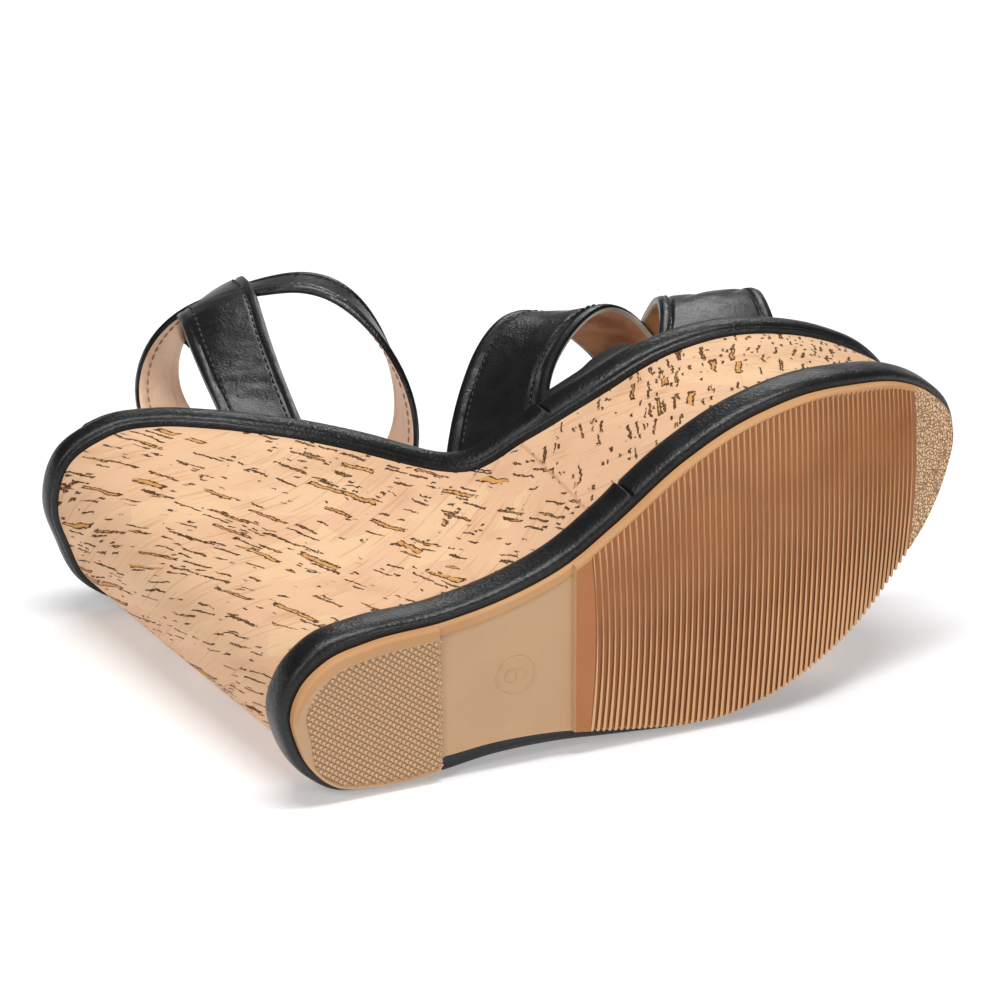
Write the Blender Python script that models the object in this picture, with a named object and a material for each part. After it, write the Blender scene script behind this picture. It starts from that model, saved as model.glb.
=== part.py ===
# A left platform sandal: leather straps over a cork-covered wedge, lying on its outer side.
# Every piece is shaped in the sandal's own frame: x to the toe from the heel end of the outsole,
# y to the outer side of the foot, z up through the sandal from the tread.
# One empty then lays the whole sandal down on the face it rests on.
import math

import bmesh
import bpy
import numpy as np
from mathutils import Matrix, Vector

for item in list(bpy.data.objects):
    bpy.data.objects.remove(item, do_unlink=True)

mm = 0.001

# Main sizes
soleLength = 195.5 * mm       # outsole, heel end to toe tip, measured level
ballWidth = 80.0 * mm         # outsole across the ball
platformRise = 43.3 * mm      # ground to underside of the bed board at the ball
heelRise = 126.4 * mm         # the same at the back of the heel
gap = 0.3 * mm                # between neighbouring pieces
sectionCount = 54             # cross sections from heel to toe

# Outsole
outsoleThick = 2.6 * mm
treadDepth = 1.2 * mm         # heel pad and forefoot tread stand out by this
edgeRound = 0.7 * mm
padFront = 0.2005             # share of the length where the heel pad ends
treadStart = 0.3876           # share where the forefoot tread begins
stepShare = 0.001             # half the length of a step between two levels
waistTrim = 3.4 * mm          # outsole set in at the outer waist
trimEnd = 0.55                # share where that trim has faded out
springStart = 0.650           # share where the toe begins to lift
springEnd = 0.851             # share where the lift has reached its full angle
springAngle = math.radians(20.8)

# Boards, wedge and insole
baseThick = 10.1 * mm
bedThick = 9.6 * mm
boardRoll = 1.9 * mm          # leather edge stands out past the cork by this
corkInset = 0.5 * mm
insoleThick = 2.4 * mm
insoleInset = 3.7 * mm
insoleGap = 0.65 * mm
sideSkew = 0.15               # outer side of the bed starts to climb further back
reachEnd = 0.235              # share ahead of which the wedge walls stand upright
reachPower = 1.5
toeReach = 0.87

# Straps
strapThick = 1.9 * mm
strapInset = 0.8 * mm
footGap = 0.4 * mm            # between the foot of a strap and the bed board
crossSink = strapThick + 2 * gap  # the instep band dips this far under the toe band
formRise = 88.3 * mm          # tallest arch of the foot form over the bed
formPower = 2.5               # squareness of that arch
outerBulge = 0.3              # bulge on the outer side against the inner side
bandSteps = 36
bandColumns = 6

# Ankle ring and quarters
ankleWidth = 14.8 * mm
ankleThick = 2.0 * mm
ankleSteps = 72
quarterThick = 1.7 * mm
loopTuck = 2.5 * mm
quarterSteps = 9
quarterColumns = 6

# Outlines as closed loops, (share of the length, share of the ball width), heel end first,
# outer side next, toe, then the inner side.
soleEdge = (
    (0.000, -0.017), (0.006, 0.070), (0.024, 0.173), (0.057, 0.251),
    (0.103, 0.279), (0.200, 0.284), (0.280, 0.268), (0.366, 0.274),
    (0.453, 0.303), (0.552, 0.332), (0.612, 0.335), (0.674, 0.303),
    (0.744, 0.242), (0.830, 0.140), (0.904, 0.011), (0.956, -0.103),
    (0.986, -0.222), (1.000, -0.357), (0.989, -0.444), (0.957, -0.530),
    (0.900, -0.617), (0.810, -0.687), (0.723, -0.713), (0.638, -0.677),
    (0.550, -0.582), (0.451, -0.418), (0.382, -0.316), (0.302, -0.253),
    (0.214, -0.220), (0.108, -0.210), (0.052, -0.180), (0.016, -0.113),
)
bedEdge = (
    (-0.066, -0.065), (-0.054, 0.057), (-0.030, 0.201), (0.008, 0.279),
    (0.072, 0.304), (0.192, 0.303), (0.280, 0.292), (0.366, 0.298),
    (0.453, 0.325), (0.552, 0.351), (0.612, 0.351), (0.674, 0.320),
    (0.744, 0.259), (0.830, 0.152), (0.900, 0.020), (0.948, -0.100),
    (0.975, -0.216), (0.985, -0.345), (0.973, -0.440), (0.943, -0.530),
    (0.887, -0.618), (0.805, -0.692), (0.723, -0.723), (0.638, -0.698),
    (0.550, -0.607), (0.451, -0.453), (0.382, -0.359), (0.302, -0.323),
    (0.214, -0.317), (0.081, -0.327), (0.008, -0.305), (-0.044, -0.237),
)
# Climb of the bed, (share of the length, share of the climb from platform to heel)
bedClimb = (
    (-0.070, 1.000), (0.000, 0.993), (0.045, 0.983), (0.081, 0.950), (0.127, 0.883),
    (0.172, 0.815), (0.215, 0.729), (0.254, 0.623), (0.289, 0.502), (0.320, 0.365),
    (0.352, 0.234), (0.370, 0.180), (0.385, 0.150), (0.404, 0.131), (0.444, 0.108),
    (0.492, 0.065), (0.541, 0.024), (0.599, 0.010), (0.683, 0.000), (0.850, 0.000),
    (1.010, 0.010),
)
# Direction of the bed board's thickness, (share of the length, degrees forward of upright)
bedLean = (
    (-0.070, 3.0), (0.060, 10.0), (0.147, 22.0), (0.236, 32.0), (0.302, 30.0),
    (0.369, 10.0), (0.435, 0.0), (1.010, 0.0),
)
# Foot form that carries the two bands: (share of the length, share of formRise,
# degrees forward of upright, sideways bulge as a share of the ball width)
footForm = (
    (0.346, 1.000, 21.1, 0.301),
    (0.501, 0.784, 36.7, 0.153),
    (0.656, 0.553, 36.4, 0.055),
    (0.855, 0.385, 15.3, 0.043),
)
# Band ends as shares of the length: (rear inner, front inner, rear outer, front outer)
instepEnds = (0.378, 0.474, 0.715, 0.818)
toeEnds = (0.653, 0.819, 0.385, 0.577)
# Quarter ends: (rear, front) as shares of the length on the bed, then as turns of the ring
innerQuarterEnds = ((0.172, 0.256), (0.600, 0.690))
outerQuarterEnds = ((0.166, 0.251), (0.385, 0.285))
# Ankle ring
ringSpot = (0.390, -0.023)    # shares of the length and of the ball width
ringLift = 52.8 * mm          # centre above the heel rise
ringTilt = (42.3, 21.2, -4.1)  # degrees forward, sideways and turned in its own plane
ringRadii = (29.6 * mm, 34.0 * mm)
ringWaves = (6.6 * mm, 3.0 * mm, -2.7 * mm, 1.5 * mm)
ringFlare = (-3.4 * mm, -0.5 * mm, -5.3 * mm)
ringClear = 0.6 * mm          # between the ankle strap and the loops round it

# Station spacing: closer together where the bed bends most
bendAt = 0.34
bendSpread = 0.07
bendCare = 5.0


def hermite(keys, values, at):
    keys = np.asarray(keys, dtype=float)
    values = np.asarray(values, dtype=float)
    steps = np.diff(keys)
    slopes = np.diff(values) / steps
    inner = (slopes[:-1] * steps[1:] + slopes[1:] * steps[:-1]) / (steps[1:] + steps[:-1])
    tangents = np.concatenate(([slopes[0]], inner, [slopes[-1]]))
    at = np.clip(at, keys[0], keys[-1])
    i = np.clip(np.searchsorted(keys, at) - 1, 0, len(keys) - 2)
    s = (at - keys[i]) / steps[i]
    start = values[i] * (1 + 2 * s) * (1 - s) ** 2 + tangents[i] * steps[i] * s * (1 - s) ** 2
    end = values[i + 1] * s * s * (3 - 2 * s) + tangents[i + 1] * steps[i] * s * s * (s - 1)
    return start + end


def smoothStep(value, low, high):
    share = np.clip((value - low) / (high - low), 0.0, 1.0)
    return share * share * (3 - 2 * share)


def unit(vectors):
    length = np.linalg.norm(vectors, axis=-1, keepdims=True)
    return vectors / np.maximum(length, 1e-12)


class Outline:
    # One closed outline as two edges, outer and inner, that meet at the heel and at the toe.
    def __init__(self, table):
        points = np.array(table) * (soleLength, ballWidth)
        wrapped = np.vstack((points[-3:], points, points[:4]))
        chord = np.linalg.norm(np.diff(wrapped, axis=0), axis=1)
        run = np.concatenate(([0.0], np.cumsum(chord)))
        at = np.linspace(run[3], run[3 + len(points)], 1600, endpoint=False)
        x = hermite(run, wrapped[:, 0], at)
        y = hermite(run, wrapped[:, 1], at)
        heel = int(np.argmin(x))
        x = np.roll(x, -heel)
        y = np.roll(y, -heel)
        toe = int(np.argmax(x))
        self.low = x[0]
        self.high = x[toe]
        self.outerX = x[:toe + 1]
        self.outerY = y[:toe + 1]
        self.innerX = np.append(x[toe:], x[0])[::-1]
        self.innerY = np.append(y[toe:], y[0])[::-1]

    def outer(self, x):
        return np.interp(x, self.outerX, self.outerY)

    def inner(self, x):
        return np.interp(x, self.innerX, self.innerY)


sole = Outline(soleEdge)
bed = Outline(bedEdge)


def stationShares(count):
    fine = (np.arange(4000) + 0.5) / 4000
    weight = 1 / np.sqrt(fine * (1 - fine))
    weight += bendCare * np.exp(-((fine - bendAt) / bendSpread) ** 2)
    total = np.concatenate(([0.0], np.cumsum(weight)))
    return np.interp(np.linspace(0, total[-1], count + 1), total, np.arange(4001) / 4000)


def loopAt(outerXs, outerYs, innerYs):
    # Closed loop of (x, y): heel end, outer side, toe end, inner side back again.
    outer = np.column_stack((outerXs, outerYs))
    inner = np.column_stack((outerXs, innerYs))
    return np.vstack((outer, inner[-2:0:-1]))


def loopNormals(loop):
    along = np.roll(loop, -1, axis=0) - np.roll(loop, 1, axis=0)
    return unit(np.column_stack((-along[:, 1], along[:, 0])))


def springHeight(x):
    start = springStart * soleLength
    end = springEnd * soleLength
    slope = math.tan(springAngle)
    bend = slope / (end - start)
    curved = 0.5 * bend * np.clip(x - start, 0.0, end - start) ** 2
    return curved + slope * np.clip(x - end, 0.0, None)


def bedLower(x, y):
    reach = (x + sideSkew * (y - bed.inner(x))) / soleLength
    share = hermite([row[0] for row in bedClimb], [row[1] for row in bedClimb], reach)
    return platformRise + share * (heelRise - platformRise)


def bedDirection(x, y):
    reach = (x + sideSkew * (y - bed.inner(x))) / soleLength
    lean = np.radians(hermite([row[0] for row in bedLean], [row[1] for row in bedLean], reach))
    return np.column_stack((np.sin(lean), np.zeros_like(lean), np.cos(lean)))


def material(name, colour, roughness):
    made = bpy.data.materials.new(name)
    made.use_nodes = True
    shader = made.node_tree.nodes["Principled BSDF"]
    shader.inputs["Base Color"].default_value = (*colour, 1.0)
    shader.inputs["Roughness"].default_value = roughness
    return made


blackLeather = material("black_leather", (0.012, 0.012, 0.014), 0.42)
tanRubber = material("tan_rubber", (0.42, 0.27, 0.14), 0.62)
corkCover = material("cork", (0.62, 0.40, 0.24), 0.75)
insoleLeather = material("insole_leather", (0.02, 0.02, 0.022), 0.5)

pieces = []


def addPiece(name, vertices, faces, skin, smoothAngle):
    mesh = bpy.data.meshes.new(name)
    mesh.from_pydata([tuple(v) for v in vertices], [], faces)
    body = bmesh.new()
    body.from_mesh(mesh)
    bmesh.ops.triangulate(body, faces=body.faces[:])
    bmesh.ops.recalc_face_normals(body, faces=body.faces[:])
    if body.calc_volume(signed=True) < 0:
        bmesh.ops.reverse_faces(body, faces=body.faces[:])
    body.to_mesh(mesh)
    body.free()
    mesh.materials.append(skin)
    mesh.shade_smooth()
    mesh.set_sharp_from_angle(angle=math.radians(smoothAngle))
    item = bpy.data.objects.new(name, mesh)
    bpy.context.scene.collection.objects.link(item)
    pieces.append(item)
    return item


def stackedBody(name, rings, skin, smoothAngle=35):
    # A body from closed loops of equal length, lowest first, closed by rungs across both ends.
    count = len(rings[0])
    half = count // 2
    vertices = np.vstack(rings)
    faces = []
    for level in range(len(rings) - 1):
        low = level * count
        high = low + count
        for i in range(count):
            j = (i + 1) % count
            faces.append((low + i, low + j, high + j, high + i))
    for start in (0, (len(rings) - 1) * count):
        faces.append((start, start + 1, start + count - 1))
        for i in range(1, half - 1):
            faces.append((start + i, start + i + 1, start + count - i - 1, start + count - i))
        faces.append((start + half - 1, start + half, start + half + 1))
    return addPiece(name, vertices, faces, skin, smoothAngle)


# Outsole: tread levels step at the front of the heel pad and at the start of the forefoot
shares = stationShares(sectionCount)
steps = [padFront - stepShare, padFront + stepShare, treadStart - stepShare, treadStart + stepShare]
clearOfSteps = [s for s in shares if all(abs(s - step) > 4 * stepShare for step in steps)]
soleStations = np.array(sorted(clearOfSteps + steps))
soleX = sole.low + soleStations * (sole.high - sole.low)
trimFade = np.clip((trimEnd - soleStations) / (trimEnd - padFront), 0.0, 1.0)
trimFade[soleStations < padFront] = 0.0
soleLoop = loopAt(soleX, sole.outer(soleX) - waistTrim * trimFade, sole.inner(soleX))
soleNormal = loopNormals(soleLoop)
waist = (soleStations > padFront) & (soleStations < treadStart)
levels = np.where(waist, treadDepth, 0.0)
levels = np.concatenate((levels, levels[-2:0:-1]))
soleLift = springHeight(soleLoop[:, 0])


def outsoleRing(offset, height):
    return np.column_stack((soleLoop + offset * soleNormal, soleLift + height))


stackedBody("outsole", [
    outsoleRing(-edgeRound, levels),
    outsoleRing(0.0, levels + edgeRound),
    outsoleRing(0.0, outsoleThick),
], tanRubber, 30)

# Lower board: a leather-wrapped roll round the outsole's outline
baseX = sole.low + shares * (sole.high - sole.low)
baseLoop = loopAt(baseX, sole.outer(baseX), sole.inner(baseX))
baseNormal = loopNormals(baseLoop)
baseFloor = springHeight(baseLoop[:, 0]) + outsoleThick + gap
# (share of boardRoll outward, share of baseThick up)
baseProfile = ((-0.3, 0.0), (0.6, 0.10), (1.0, 0.32), (1.0, 0.62), (0.62, 0.88), (-0.1, 1.0))
stackedBody("base_board", [
    np.column_stack((baseLoop + out * boardRoll * baseNormal, baseFloor + up * baseThick))
    for out, up in baseProfile
], blackLeather)

# Bed outline, with stations drawn back over the heel
back = np.clip((reachEnd - shares) / reachEnd, 0.0, 1.0) ** reachPower
front = np.clip((shares - toeReach) / (1 - toeReach), 0.0, 1.0) ** 2
bedX = baseX - (sole.low - bed.low) * back + (bed.high - sole.high) * front
bedLoop = loopAt(bedX, bed.outer(bedX), bed.inner(bedX))
bedNormal = loopNormals(bedLoop)
bedRise = bedLower(bedLoop[:, 0], bedLoop[:, 1])
bedLift = bedDirection(bedLoop[:, 0], bedLoop[:, 1])


def bedRing(offset, lift):
    ground = np.column_stack((bedLoop + offset * bedNormal, bedRise))
    slope = bedLower(ground[:, 0], ground[:, 1]) - bedRise
    ground[:, 2] += slope
    return ground + bedLift * lift


# Cork wedge between the two boards
corkFloor = baseFloor + baseThick + gap
lowRing = np.column_stack((baseLoop - corkInset * baseNormal, corkFloor))
highRing = bedRing(-corkInset, 0.0)
corkRows = 4
stackedBody("cork_wedge", [
    lowRing + (highRing - lowRing) * row / corkRows for row in range(corkRows + 1)
], corkCover, 50)

# Bed board: (share of boardRoll outward, share of bedThick up)
bedProfile = ((-0.3, 0.0), (0.5, 0.10), (0.95, 0.34), (0.95, 0.68), (0.5, 0.92), (-0.4, 1.0))
stackedBody("bed_board", [
    bedRing(out * boardRoll, gap + up * bedThick) for out, up in bedProfile
], blackLeather)

# Edges of the bed board's top, and the height of the top between them
topLoop = bedRing(0.0, gap + bedThick)
topOuter = topLoop[:len(bedX)]
topInner = np.vstack((topLoop[len(bedX) - 1:], topLoop[:1]))[::-1]


def outerEdge(x):
    return np.interp(x, topOuter[:, 0], topOuter[:, 1])


def innerEdge(x):
    return np.interp(x, topInner[:, 0], topInner[:, 1])


def bedUpper(x, y):
    outerZ = np.interp(x, topOuter[:, 0], topOuter[:, 2])
    innerZ = np.interp(x, topInner[:, 0], topInner[:, 2])
    width = np.maximum(outerEdge(x) - innerEdge(x), mm)
    share = np.clip((y - innerEdge(x)) / width, 0.0, 1.0)
    return innerZ + (outerZ - innerZ) * share


def insoleRing(offset, lift):
    ring = bedRing(offset - insoleInset, gap + bedThick)
    ring[:, 2] = bedUpper(ring[:, 0], ring[:, 1]) + insoleGap
    return ring + bedLift * lift


# Insole inside the feet of the straps
stackedBody("insole", [
    insoleRing(0.0, 0.0),
    insoleRing(0.3 * insoleThick, 0.3 * insoleThick),
    insoleRing(0.0, 0.8 * insoleThick),
    insoleRing(-0.6 * insoleThick, insoleThick),
], insoleLeather, 50)


def formSurface(x, turn):
    # Foot form over the bed: turn runs from 0 at the inner edge to pi at the outer edge.
    table = np.array(footForm)
    at = x / soleLength
    tall = hermite(table[:, 0], table[:, 1], at) * formRise
    lean = np.radians(hermite(table[:, 0], table[:, 2], at))
    bulge = hermite(table[:, 0], table[:, 3], at) * ballWidth
    bulge = bulge * np.where(turn < math.pi / 2, 1.0, outerBulge)
    power = 2 / formPower
    across = np.sign(np.cos(turn)) * np.abs(np.cos(turn)) ** power
    up = np.abs(np.sin(turn)) ** power
    blend = (1 - across) / 2
    innerY = innerEdge(x) + strapInset
    outerY = outerEdge(x) - strapInset
    innerZ = bedUpper(x, innerY) + footGap
    outerZ = bedUpper(x, outerY) + footGap
    y = innerY * (1 - blend) + outerY * blend - bulge * np.sin(2 * turn)
    z = innerZ * (1 - blend) + outerZ * blend + tall * up * np.cos(lean)
    return np.column_stack((x + tall * up * np.sin(lean), y, z))


def evenPath(points, count):
    run = np.concatenate(([0.0], np.cumsum(np.linalg.norm(np.diff(points, axis=0), axis=1))))
    at = np.linspace(0.0, run[-1], count + 1)
    return np.column_stack([np.interp(at, run, points[:, k]) for k in range(3)])


def gridNormals(grid, closed=False):
    if closed:
        along = np.roll(grid, -1, axis=0) - np.roll(grid, 1, axis=0)
    else:
        along = np.gradient(grid, axis=0)
    across = np.gradient(grid, axis=1)
    return unit(np.cross(along, across))


def sheetBody(name, outerFace, innerFace, skin, closed=False, smoothAngle=50):
    # A sheet with thickness from two matching grids, closed round its rim.
    rows, columns = outerFace.shape[:2]
    vertices = np.vstack((outerFace.reshape(-1, 3), innerFace.reshape(-1, 3)))
    under = rows * columns
    faces = []
    spans = rows if closed else rows - 1
    for i in range(spans):
        j = (i + 1) % rows
        for c in range(columns - 1):
            a = i * columns + c
            b = j * columns + c
            faces.append((a, a + 1, b + 1, b))
            faces.append((under + a, under + b, under + b + 1, under + a + 1))
        for c in (0, columns - 1):
            a = i * columns + c
            b = j * columns + c
            faces.append((a, b, under + b, under + a))
    if not closed:
        for i in (0, rows - 1):
            for c in range(columns - 1):
                a = i * columns + c
                faces.append((a, a + 1, under + a + 1, under + a))
    return addPiece(name, vertices, faces, skin, smoothAngle)


def bandBody(name, ends, sink):
    innerX = np.linspace(ends[0], ends[1], bandColumns + 1) * soleLength
    outerX = np.linspace(ends[2], ends[3], bandColumns + 1) * soleLength
    turn = np.linspace(0.0, math.pi, 240)
    drift = 0.25 * (1 - np.cos(turn)) + 0.5 * turn / math.pi
    columns = []
    for a, b in zip(innerX, outerX):
        columns.append(evenPath(formSurface(a + (b - a) * drift, turn), bandSteps))
    grid = np.stack(columns, axis=1)
    normal = gridNormals(grid)
    if normal[bandSteps // 2, :, 2].mean() < 0:
        normal = -normal
    for row in (0, bandSteps):
        normal[row, :, 2] = 0.0
    normal = unit(normal)
    share = np.linspace(0.0, 1.0, bandSteps + 1)
    dip = smoothStep(share, 0.30, 0.48) * (1 - smoothStep(share, 0.86, 0.98)) * sink
    outerFace = grid - normal * dip[:, None, None]
    innerFace = outerFace - normal * strapThick
    for face in (outerFace, innerFace):
        for row in (0, bandSteps):
            face[row, :, 2] = bedUpper(face[row, :, 0], face[row, :, 1]) + footGap
    sheetBody(name, outerFace, innerFace, blackLeather)


bandBody("instep_band", instepEnds, crossSink)
bandBody("toe_band", toeEnds, 0.0)

# Ankle strap: a closed ring, tilted forward and sideways
forward, sideways, turned = (math.radians(angle) for angle in ringTilt)
ringAxis = np.array((
    math.sin(forward) * math.cos(sideways),
    math.sin(sideways),
    math.cos(forward) * math.cos(sideways),
))
ringAhead = np.array((math.cos(forward), 0.0, -math.sin(forward)))
ringAside = np.cross(ringAxis, ringAhead)
ringCentre = np.array((
    ringSpot[0] * soleLength,
    ringSpot[1] * ballWidth,
    heelRise + ringLift,
))


def ringPoint(turn, side):
    # Middle of the ankle strap's thickness: side is -1 at its lower edge and 1 at its upper edge.
    wave = (
        ringWaves[0] * np.cos(2 * turn) + ringWaves[1] * np.sin(2 * turn)
        + ringWaves[2] * np.cos(3 * turn) + ringWaves[3] * np.sin(3 * turn)
        + side * (ringFlare[0] + ringFlare[1] * np.cos(turn) + ringFlare[2] * np.sin(turn))
    )
    ahead = (ringRadii[0] + wave) * np.cos(turn)
    aside = (ringRadii[1] + wave) * np.sin(turn)
    u = ahead * math.cos(turned) - aside * math.sin(turned)
    v = ahead * math.sin(turned) + aside * math.cos(turned)
    rise = side * ankleWidth / 2
    return ringCentre + np.outer(u, ringAhead) + np.outer(v, ringAside) + rise * ringAxis


def ringFrame(turn):
    # Middle, upward and outward directions and half width of the ankle strap at each turn.
    middle = ringPoint(turn, 0.0)
    upward = ringPoint(turn, 1.0) - ringPoint(turn, -1.0)
    half = np.linalg.norm(upward, axis=1) / 2
    step = 0.01
    along = ringPoint(turn + step, 0.0) - ringPoint(turn - step, 0.0)
    outward = unit(np.cross(along, upward))
    return middle, unit(upward), outward, half


ringTurns = np.linspace(0.0, 2 * math.pi, ankleSteps, endpoint=False)
sides = (-1.0, -1 / 3, 1 / 3, 1.0)
ringGrid = np.stack([ringPoint(ringTurns, side) for side in sides], axis=1)
ringNormal = np.repeat(ringFrame(ringTurns)[2][:, None, :], len(sides), axis=1)
sheetBody(
    "ankle_strap",
    ringGrid + ringNormal * ankleThick / 2,
    ringGrid - ringNormal * ankleThick / 2,
    blackLeather,
    closed=True,
)


def quarterBody(name, ends, edge, facing):
    # A strap from the bed board's edge up to a loop folded round the ankle strap.
    (rearFoot, frontFoot), (rearTurn, frontTurn) = ends
    columns = quarterColumns + 1
    turns = np.linspace(rearTurn, frontTurn, columns) * 2 * math.pi
    middle, upward, outward, half = ringFrame(turns)
    slotOut = ankleThick / 2 + ringClear
    skinOut = slotOut + quarterThick
    slotTop = half + ringClear
    # Contour round the ankle strap, outer foot of the loop first: (share of length, outward, fold)
    contour = [(-1.0, 1.0), (-0.5, 1.0), (0.0, 1.0), (0.5, 1.0), (0.9, 1.0)]
    contour += [(1.0, 0.7), (1.0, 0.0), (1.0, -0.7)]
    contour += [(0.9, -1.0), (0.5, -1.0), (0.0, -1.0), (-0.5, -1.0), (-1.0, -1.0)]
    fold = {1.0: quarterThick, 0.9: 0.4 * quarterThick, -1.0: quarterThick}
    slotRows = []
    skinRows = []
    for along, out in contour:
        slotRows.append(middle + upward * (along * slotTop)[:, None] + outward * out * slotOut)
        reach = along * slotTop + math.copysign(fold.get(along, 0.0), along)
        skinRows.append(middle + upward * reach[:, None] + outward * out * skinOut)
    footX = np.linspace(rearFoot, frontFoot, columns) * soleLength
    footY = edge(footX) - facing * strapInset
    foot = np.column_stack((footX, footY, bedUpper(footX, footY) + footGap))
    footOut = np.tile((0.0, facing, 0.0), (columns, 1))
    top = skinRows[0]
    chord = foot - top
    reach = np.linalg.norm(chord, axis=1, keepdims=True)
    leaveTop = unit(0.85 * unit(chord) - 0.15 * upward)
    reachFoot = unit(0.85 * unit(chord) + 0.15 * np.array((0.0, 0.0, -1.0)))
    seam = np.array((0.0, 0.05, 0.09, 0.096))
    shares = np.concatenate((seam, np.linspace(0.18, 1.0, quarterSteps)))
    doubled = 2 * quarterThick
    thickness = [2 * skinOut, doubled + 0.6 * mm, doubled, quarterThick]
    thickness += [quarterThick] * quarterSteps
    outerRows = []
    innerRows = []
    for share, thick in zip(shares, thickness):
        rest = 1 - share
        point = top * rest ** 3 + (top + leaveTop * reach / 3) * 3 * rest ** 2 * share
        point = point + (foot - reachFoot * reach / 3) * 3 * rest * share ** 2 + foot * share ** 3
        out = unit(outward * rest + footOut * share)
        heading = unit(unit(chord) * rest + reachFoot * share)
        out = unit(out - heading * np.sum(out * heading, axis=1, keepdims=True))
        if share == 0.0:
            out = outward
        outerRows.append(point)
        innerRows.append(point - out * thick)
    outerRows[-1] = foot
    innerFoot = foot - footOut * quarterThick
    innerFoot[:, 2] = bedUpper(innerFoot[:, 0], innerFoot[:, 1]) + footGap
    innerRows[-1] = innerFoot
    innerRows[0] = skinRows[-1]

    vertices = []
    index = {}

    def add(label, rows):
        index[label] = []
        for row in rows:
            index[label].append(list(range(len(vertices), len(vertices) + columns)))
            vertices.extend(row)

    add("slot", slotRows)
    add("skin", skinRows)
    add("outer", outerRows[1:])
    add("inner", innerRows[1:])
    slot = index["slot"]
    skin = index["skin"]
    outer = [skin[0]] + index["outer"]
    inner = [skin[-1]] + index["inner"]
    faces = []
    for c in range(columns - 1):
        for line in (skin, outer, inner, slot + [slot[0]]):
            for a, b in zip(line[:-1], line[1:]):
                faces.append((a[c], a[c + 1], b[c + 1], b[c]))
        faces.append((outer[-1][c], outer[-1][c + 1], inner[-1][c + 1], inner[-1][c]))
    for c in (0, columns - 1):
        for k in range(len(skin) - 1):
            faces.append((skin[k][c], skin[k + 1][c], slot[k + 1][c], slot[k][c]))
        faces.append((skin[-1][c], skin[0][c], slot[0][c], slot[-1][c]))
        for m in range(len(outer) - 1):
            faces.append((outer[m][c], outer[m + 1][c], inner[m + 1][c], inner[m][c]))
    addPiece(name, vertices, faces, blackLeather, 50)


quarterBody("inner_quarter", innerQuarterEnds, innerEdge, -1.0)
quarterBody("outer_quarter", outerQuarterEnds, outerEdge, 1.0)

# Lay the sandal on its outer side: the flat of the hull under its middle goes down to the floor
hull = bmesh.new()
for item in pieces:
    for vertex in item.data.vertices:
        hull.verts.new(vertex.co)
hullParts = bmesh.ops.convex_hull(hull, input=hull.verts[:])
weight = 0.0
balance = Vector((0.0, 0.0, 0.0))
for item in pieces:
    body = bmesh.new()
    body.from_mesh(item.data)
    for face in body.faces:
        a, b, c = (corner.co for corner in face.verts)
        share = a.dot(b.cross(c)) / 6
        weight += share
        balance += (a + b + c) / 4 * share
    body.free()
balance /= weight
restNormal = Vector((0.0, 1.0, 0.0))
for face in hull.faces:
    normal = face.normal
    if normal.dot(face.calc_center_median() - balance) < 0:
        normal = -normal
    if normal.y < 0.9:
        continue
    corners = [loop.vert.co for loop in face.loops]
    foot = balance + normal * normal.dot(corners[0] - balance)
    crossings = []
    for start, end in zip(corners, corners[1:] + corners[:1]):
        crossings.append((end - start).cross(foot - start).dot(normal))
    if all(value >= 0 for value in crossings) or all(value <= 0 for value in crossings):
        restNormal = normal.copy()
hull.free()

stand = bpy.data.objects.new("sandal", None)
bpy.context.scene.collection.objects.link(stand)
lay = Matrix.Rotation(-math.pi / 2, 3, "X")
level = (lay @ restNormal).rotation_difference(Vector((0.0, 0.0, -1.0))).to_matrix()
turnDown = level @ lay
spots = np.array([vertex.co[:] for item in pieces for vertex in item.data.vertices])
spots = spots @ np.array(turnDown).T
low = spots.min(axis=0)
high = spots.max(axis=0)
stand.rotation_euler = turnDown.to_euler()
stand.location = (-(low[0] + high[0]) / 2, -(low[1] + high[1]) / 2, -low[2])
for item in pieces:
    item.parent = stand
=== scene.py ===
import math

import bpy
import numpy as np
from mathutils import Matrix, Vector


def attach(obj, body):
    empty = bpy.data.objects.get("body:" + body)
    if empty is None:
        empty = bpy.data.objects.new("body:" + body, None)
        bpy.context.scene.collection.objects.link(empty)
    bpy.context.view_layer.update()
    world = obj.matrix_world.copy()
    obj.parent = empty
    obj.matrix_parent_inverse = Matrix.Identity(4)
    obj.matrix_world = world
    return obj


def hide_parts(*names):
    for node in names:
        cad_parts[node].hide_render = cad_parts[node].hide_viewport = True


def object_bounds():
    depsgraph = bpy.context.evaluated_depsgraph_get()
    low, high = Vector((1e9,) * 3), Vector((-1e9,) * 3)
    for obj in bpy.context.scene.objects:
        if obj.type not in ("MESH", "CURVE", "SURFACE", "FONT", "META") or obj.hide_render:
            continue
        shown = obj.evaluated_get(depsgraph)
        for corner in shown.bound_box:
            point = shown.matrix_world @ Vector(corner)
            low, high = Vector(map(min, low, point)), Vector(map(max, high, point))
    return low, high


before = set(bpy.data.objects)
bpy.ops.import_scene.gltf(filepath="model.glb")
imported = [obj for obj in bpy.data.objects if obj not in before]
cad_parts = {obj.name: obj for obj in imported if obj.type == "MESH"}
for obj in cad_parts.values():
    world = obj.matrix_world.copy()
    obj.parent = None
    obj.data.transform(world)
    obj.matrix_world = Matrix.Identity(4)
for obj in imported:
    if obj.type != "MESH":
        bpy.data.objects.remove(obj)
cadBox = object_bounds()
mm = 0.001

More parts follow.
